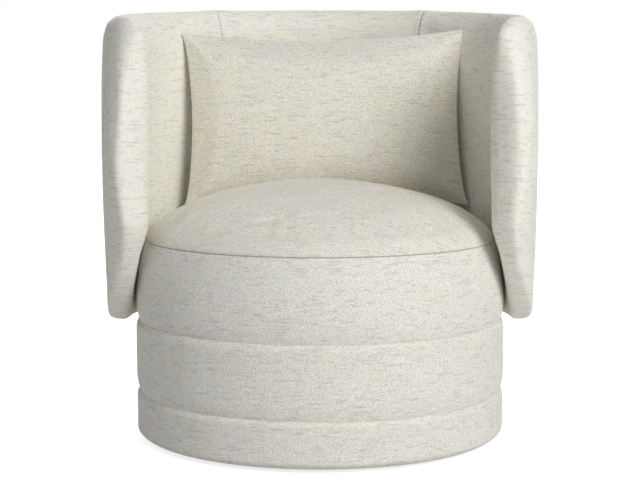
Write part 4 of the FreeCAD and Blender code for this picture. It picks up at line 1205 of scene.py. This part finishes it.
def take_cover(cover, name, number, material):
    """One cover cut out of the whole skin along its seams, given its thickness."""
    mesh = bmesh.new()
    mesh.from_mesh(cover.data)
    share = mesh.faces.layers.int["cover"]
    bmesh.ops.delete(mesh, geom=[face for face in mesh.faces if face[share] != number], context="FACES")
    piece = to_object(name, mesh, material)
    thick = piece.modifiers.new("Thickness", "SOLIDIFY")
    thick.thickness = COVER_WALL
    thick.offset = -1
    apply_modifiers(piece)
    return piece


# Stitches
STITCH_STEPS = 240
STITCH_SINK = 0.9
STITCH_TAPER = 0.6
CHANNEL_STITCH_SINK = 0.2 * MM
UPRIGHT_START = 4
UPRIGHT_FOOT = 402 * MM


def stitch_tree():
    """Geometry Nodes that lay stitches of a given length and thickness along the edges of a line."""
    tree = bpy.data.node_groups.new("Stitch row", "GeometryNodeTree")
    face = tree.interface
    face.new_socket("Line", in_out="INPUT", socket_type="NodeSocketGeometry")
    for label, value in (("Pitch", 6.5 * MM), ("Length", 4.8 * MM), ("Thickness", 0.45 * MM)):
        socket = face.new_socket(label, in_out="INPUT", socket_type="NodeSocketFloat")
        socket.subtype = "DISTANCE"
        socket.default_value = value
    face.new_socket("Thread", in_out="INPUT", socket_type="NodeSocketMaterial")
    face.new_socket("Stitches", in_out="OUTPUT", socket_type="NodeSocketGeometry")
    line, pitch, length, thickness, thread = add(tree, "NodeGroupInput").parts()[:5]
    curve = add(tree, "GeometryNodeMeshToCurve", {"Mesh": line})
    spots = add(tree, "GeometryNodeResampleCurve", {"Curve": curve, "Length": pitch}, mode="LENGTH")
    tangent = add(tree, "GeometryNodeInputTangent")
    turn = add(tree, "FunctionNodeAlignRotationToVector", {"Vector": tangent}, axis="Z")
    stitch = add(tree, "GeometryNodeMeshCylinder", {"Vertices": 6, "Side Segments": 3, "Radius": thickness,
                                                    "Depth": length})
    place = add(tree, "GeometryNodeInputPosition")
    end = abs(split_vector(tree, place)[2]) / length * 2.0
    taper = 1.0 - end * end * STITCH_TAPER
    bent = add(tree, "ShaderNodeVectorMath", {0: place, 1: place_on(tree, taper, taper, 1.0)},
               operation="MULTIPLY")
    stitch = add(tree, "GeometryNodeSetPosition", {"Geometry": stitch, "Position": bent})
    laid = add(tree, "GeometryNodeInstanceOnPoints", {"Points": spots, "Instance": stitch, "Rotation": turn})
    real = add(tree, "GeometryNodeRealizeInstances", {"Geometry": laid})
    sewn = add(tree, "GeometryNodeSetMaterial", {"Geometry": real, "Material": thread})
    add(tree, "NodeGroupOutput", {"Stitches": sewn})
    return tree


def stitch_along(name, lines, thread, tree):
    """A piece of stitches along lines of points."""
    mesh = bmesh.new()
    for points in lines:
        verts = [mesh.verts.new(point) for point in points]
        for first, second in zip(verts, verts[1:]):
            mesh.edges.new((first, second))
    row = to_object(name, mesh, thread)
    sewing = row.modifiers.new("Stitches", "NODES")
    sewing.node_group = tree
    for socket in tree.interface.items_tree:
        if socket.in_out == "INPUT" and socket.name == "Thread":
            sewing[socket.identifier] = thread
    apply_modifiers(row)
    return row


class CHAIR_OT_stitches(bpy.types.Operator):
    """Sew the channels and the back's seams"""
    bl_idname = "chair.stitches"
    bl_label = "Stitches"

    def execute(self, context):
        tree = stitch_tree()
        thread = sewing_thread("oatmeal_thread")
        radius = settings("drum").groove_radius - CHANNEL_STITCH_SINK
        rings = [circle(radius, high(band).z, STITCH_STEPS) for band in ("lower_band", "middle_band")]
        channels = stitch_along("channel_stitches", rings, thread, tree)
        settle(channels, "chair", [])
        back = stitch_along("back_seam_stitches", back_seam_lines(), thread, tree)
        settle(back, "chair", [])
        return {"FINISHED"}


def back_seam_lines():
    """Points of the upright seams inside the back and of the outer panel's edge."""
    plan = make_back_cover()
    outer, inner, last_row, last_column = (plan[key] for key in ("outer", "inner", "last_row", "last_column"))
    rows = range(SEAM_ROW, last_row + 1)
    columns = range(SEAM_COLUMN, last_column + 1)
    edge = [outer[SEAM_ROW][j] for j in columns]
    edge += [outer[i][last_column] for i in rows][1:]
    edge += [outer[last_row][j] for j in reversed(columns)][1:]
    edge += [outer[i][SEAM_COLUMN] for i in reversed(rows)][1:]
    lines = [sunk(edge, 1.0)]
    for column in (plan["left"], plan["right"]):
        upright = [row[column] for row in inner if row[column].z > UPRIGHT_FOOT]
        lines.append(sunk(upright[UPRIGHT_START:], -1.0))
    return lines


def sunk(points, side):
    """Points moved to just under the skin of the wall, from outside or from inside."""
    moved = []
    for point in points:
        share = 1 - side * SEAM_SINK * STITCH_SINK / math.hypot(point.x, point.y)
        moved.append(Vector((point.x * share, point.y * share, point.z)))
    return moved


# Hidden frame
FINISHES = {
    "felt": ("floor_felt",),
    "plywood": ("plinth_board", "drum_base_board", "seat_ring", "drum_skin", "back_lower_rail",
                "back_middle_rail", "back_top_rail"),
    "hardwood": ("right_wing_stile", "left_wing_stile", "back_posts", "drum_posts", "back_spacers"),
    "board": ("inner_back_board", "outer_back_board"),
    "plate": ("lower_swivel_plate", "upper_swivel_plate"),
    "fastener": ("plinth_screws", "swivel_pin", "plate_bolts", "plate_nuts", "back_bolts"),
    "ball": ("bearing_balls",),
    "nylon": ("ball_cage",),
    "webbing": ("crosswise_webbing", "lengthwise_webbing"),
    "dust": ("dust_cover",),
}


class CHAIR_OT_frame(bpy.types.Operator):
    """Finish the hidden frame, the swivel and the foam"""
    bl_idname = "chair.frame"
    bl_label = "Frame and swivel"

    def execute(self, context):
        made = {
            "felt": matted_fibres("grey_felt", 700.0, 4.0, 0.75, (0.03, 0.028, 0.026), (0.085, 0.08, 0.075),
                                  0.95, 0.4 * MM, 0.7, Sheen_Weight=0.3),
            "plywood": plywood("birch_plywood", (0.72, 0.58, 0.4), (0.55, 0.41, 0.25)),
            "hardwood": hardwood("planed_hardwood"),
            "board": matted_fibres("bent_fibreboard", 260.0, 4.0, 0.7, (0.34, 0.25, 0.16), (0.52, 0.41, 0.28),
                                   0.75, 0.2 * MM, 0.3),
            "plate": zinc_steel("plated_steel"),
            "fastener": zinc_steel("plated_fasteners", 0.52, 0.38),
            "ball": zinc_steel("bearing_steel", 0.7, 0.08),
            "nylon": moulded_nylon("cage_nylon"),
            "webbing": strap_weave("elastic_webbing"),
            "dust": matted_fibres("dust_cloth", 500.0, 3.0, 0.7, (0.01, 0.01, 0.01), (0.036, 0.036, 0.036),
                                  0.9, 0.2 * MM, 0.5),
        }
        for finish, nodes in FINISHES.items():
            for node in nodes:
                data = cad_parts[node].data
                data.materials.clear()
                data.materials.append(made[finish])
        make_seat_foam()
        return {"FINISHED"}


FOAM_SIDE_TOP = 350 * MM
FOAM_CROWN_FOOT = 358 * MM
FOAM_STEPS = 12
FOAM_COLUMNS = 96


def make_seat_foam():
    """The foam core of the seat, inside its cover."""
    base, top = low("seat_core").z, high("seat_core").z
    side = high("seat_core").x - 1 * MM
    crown = side - 7 * MM
    outline = [(0.0, base), (side - 5 * MM, base), (side, base + 4 * MM), (side, FOAM_SIDE_TOP)]
    for turn in np.linspace(0, math.pi / 2, FOAM_STEPS + 1)[:-1]:
        rise = (top - FOAM_CROWN_FOOT) * math.sin(turn) ** 1.2
        outline.append((crown * math.cos(turn), FOAM_CROWN_FOOT + rise))
    outline.append((0.0, top))
    core = turned_solid("seat_foam_core", outline, FOAM_COLUMNS, cut_foam("seat_foam", (0.86, 0.8, 0.6)))
    settle(core, "chair", ["seat_core"])


# Stage
# Each lamp's name, its power's setting, and its degrees round from the front and up from the floor
LAMPS = (("key_light", "key_power", 35, 30), ("fill_light", "fill_power", -45, 50),
         ("back_light", "back_power", 172, 32))
LAMP_REACH = 8.0
LAMP_SIZE = 4.25
LAMP_AIM = 0.45
FLOOR_HALF = 9.0
FLOOR_COLOUR = (0.8, 0.8, 0.8, 1)
FLOOR_GLOW = 0.78
SENSOR_WIDTH = 36


class CHAIR_OT_stage(bpy.types.Operator):
    """Make the floor, the light and the camera"""
    bl_idname = "chair.stage"
    bl_label = "Stage"

    def execute(self, context):
        stage = settings("stage")
        scene = context.scene
        scene.view_settings.view_transform = "Standard"
        make_floor()
        make_world(scene, stage.ambient)
        for name, power, azimuth, lift in LAMPS:
            add_lamp(name, getattr(stage, power), math.radians(azimuth), math.radians(lift))
        camera = bpy.data.cameras.new("camera")
        camera.lens = stage.lens
        camera.sensor_width = SENSOR_WIDTH
        eye = bpy.data.objects.new("camera", camera)
        scene.collection.objects.link(eye)
        eye.location = (0, -stage.distance, stage.height)
        eye.rotation_euler = (math.pi / 2 - stage.pitch, 0, 0)
        scene.camera = eye
        return {"FINISHED"}


def add_lamp(name, power, around, up):
    """A round soft lamp that looks at the chair, placed by its angles from the front and above the floor."""
    light = bpy.data.lights.new(name, "AREA")
    light.shape = "DISK"
    light.size = LAMP_SIZE
    light.energy = power
    lamp = bpy.data.objects.new(name, light)
    bpy.context.scene.collection.objects.link(lamp)
    away = Vector((math.sin(around) * math.cos(up), -math.cos(around) * math.cos(up), math.sin(up)))
    lamp.location = away * LAMP_REACH + Vector((0, 0, LAMP_AIM))
    lamp.rotation_mode = "QUATERNION"
    lamp.rotation_quaternion = away.to_track_quat("Z", "Y")


def seen(tree):
    """1 for what the camera sees, straight on or through gloss and glass."""
    path = add(tree, "ShaderNodeLightPath").socket.node
    camera, gloss, glass = (Wire(tree, path.outputs[f"Is {ray} Ray"])
                            for ray in ("Camera", "Glossy", "Transmission"))
    return camera + gloss + glass


def make_floor():
    """A plain pale floor that shows white to the camera and keeps the chair's shadow."""
    mesh = bmesh.new()
    mesh.faces.new([mesh.verts.new((x * FLOOR_HALF, y * FLOOR_HALF, 0))
                    for x, y in ((-1, -1), (1, -1), (1, 1), (-1, 1))])
    material, tree = new_material("pale_floor")
    matt = add(tree, "ShaderNodeBsdfDiffuse", {"Color": FLOOR_COLOUR})
    glow = add(tree, "ShaderNodeEmission", {"Strength": seen(tree) * FLOOR_GLOW})
    both = add(tree, "ShaderNodeAddShader", {0: matt, 1: glow})
    add(tree, "ShaderNodeOutputMaterial", {"Surface": both})
    to_object("floor", mesh, material)


def make_world(scene, ambient):
    """Even light from all round, which the camera and reflections see as white."""
    world = bpy.data.worlds.new("studio")
    scene.world = world
    world.use_nodes = True
    tree = world.node_tree
    tree.nodes.clear()
    level = seen(tree).over(0.5, 0.1) * (1.0 - ambient) + ambient
    light = add(tree, "ShaderNodeBackground", {"Color": (1, 1, 1, 1), "Strength": level})
    add(tree, "ShaderNodeOutputWorld", {"Surface": light})


class CHAIR_PT_build(bpy.types.Panel):
    """Builds the chair step by step"""
    bl_label = "Swivel chair"
    bl_idname = "CHAIR_PT_build"
    bl_space_type = "VIEW_3D"
    bl_region_type = "UI"
    bl_category = "Chair"

    def draw(self, context):
        for step in STEPS:
            self.layout.operator(step.bl_idname)
        for name in SETTINGS:
            box = self.layout.box()
            group = getattr(context.scene, name)
            for field in group.__annotations__:
                box.prop(group, field)


STEPS = (CHAIR_OT_frame, CHAIR_OT_channels, CHAIR_OT_seat, CHAIR_OT_back, CHAIR_OT_pillow, CHAIR_OT_stitches,
         CHAIR_OT_stage)


def register():
    """Add the classes and the settings."""
    for group in SETTINGS.values():
        bpy.utils.register_class(group)
    for step in STEPS + (CHAIR_PT_build,):
        bpy.utils.register_class(step)
    for name, group in SETTINGS.items():
        setattr(bpy.types.Scene, name, bpy.props.PointerProperty(type=group))


def unregister():
    """Take the settings and the classes away."""
    for name in SETTINGS:
        delattr(bpy.types.Scene, name)
    for step in (CHAIR_PT_build,) + STEPS:
        bpy.utils.unregister_class(step)
    for group in SETTINGS.values():
        bpy.utils.unregister_class(group)


def main():
    """Build the chair."""
    register()
    for step in STEPS:
        family, name = step.bl_idname.split(".")
        getattr(getattr(bpy.ops, family), name)()


if __name__ == "__main__":
    main()
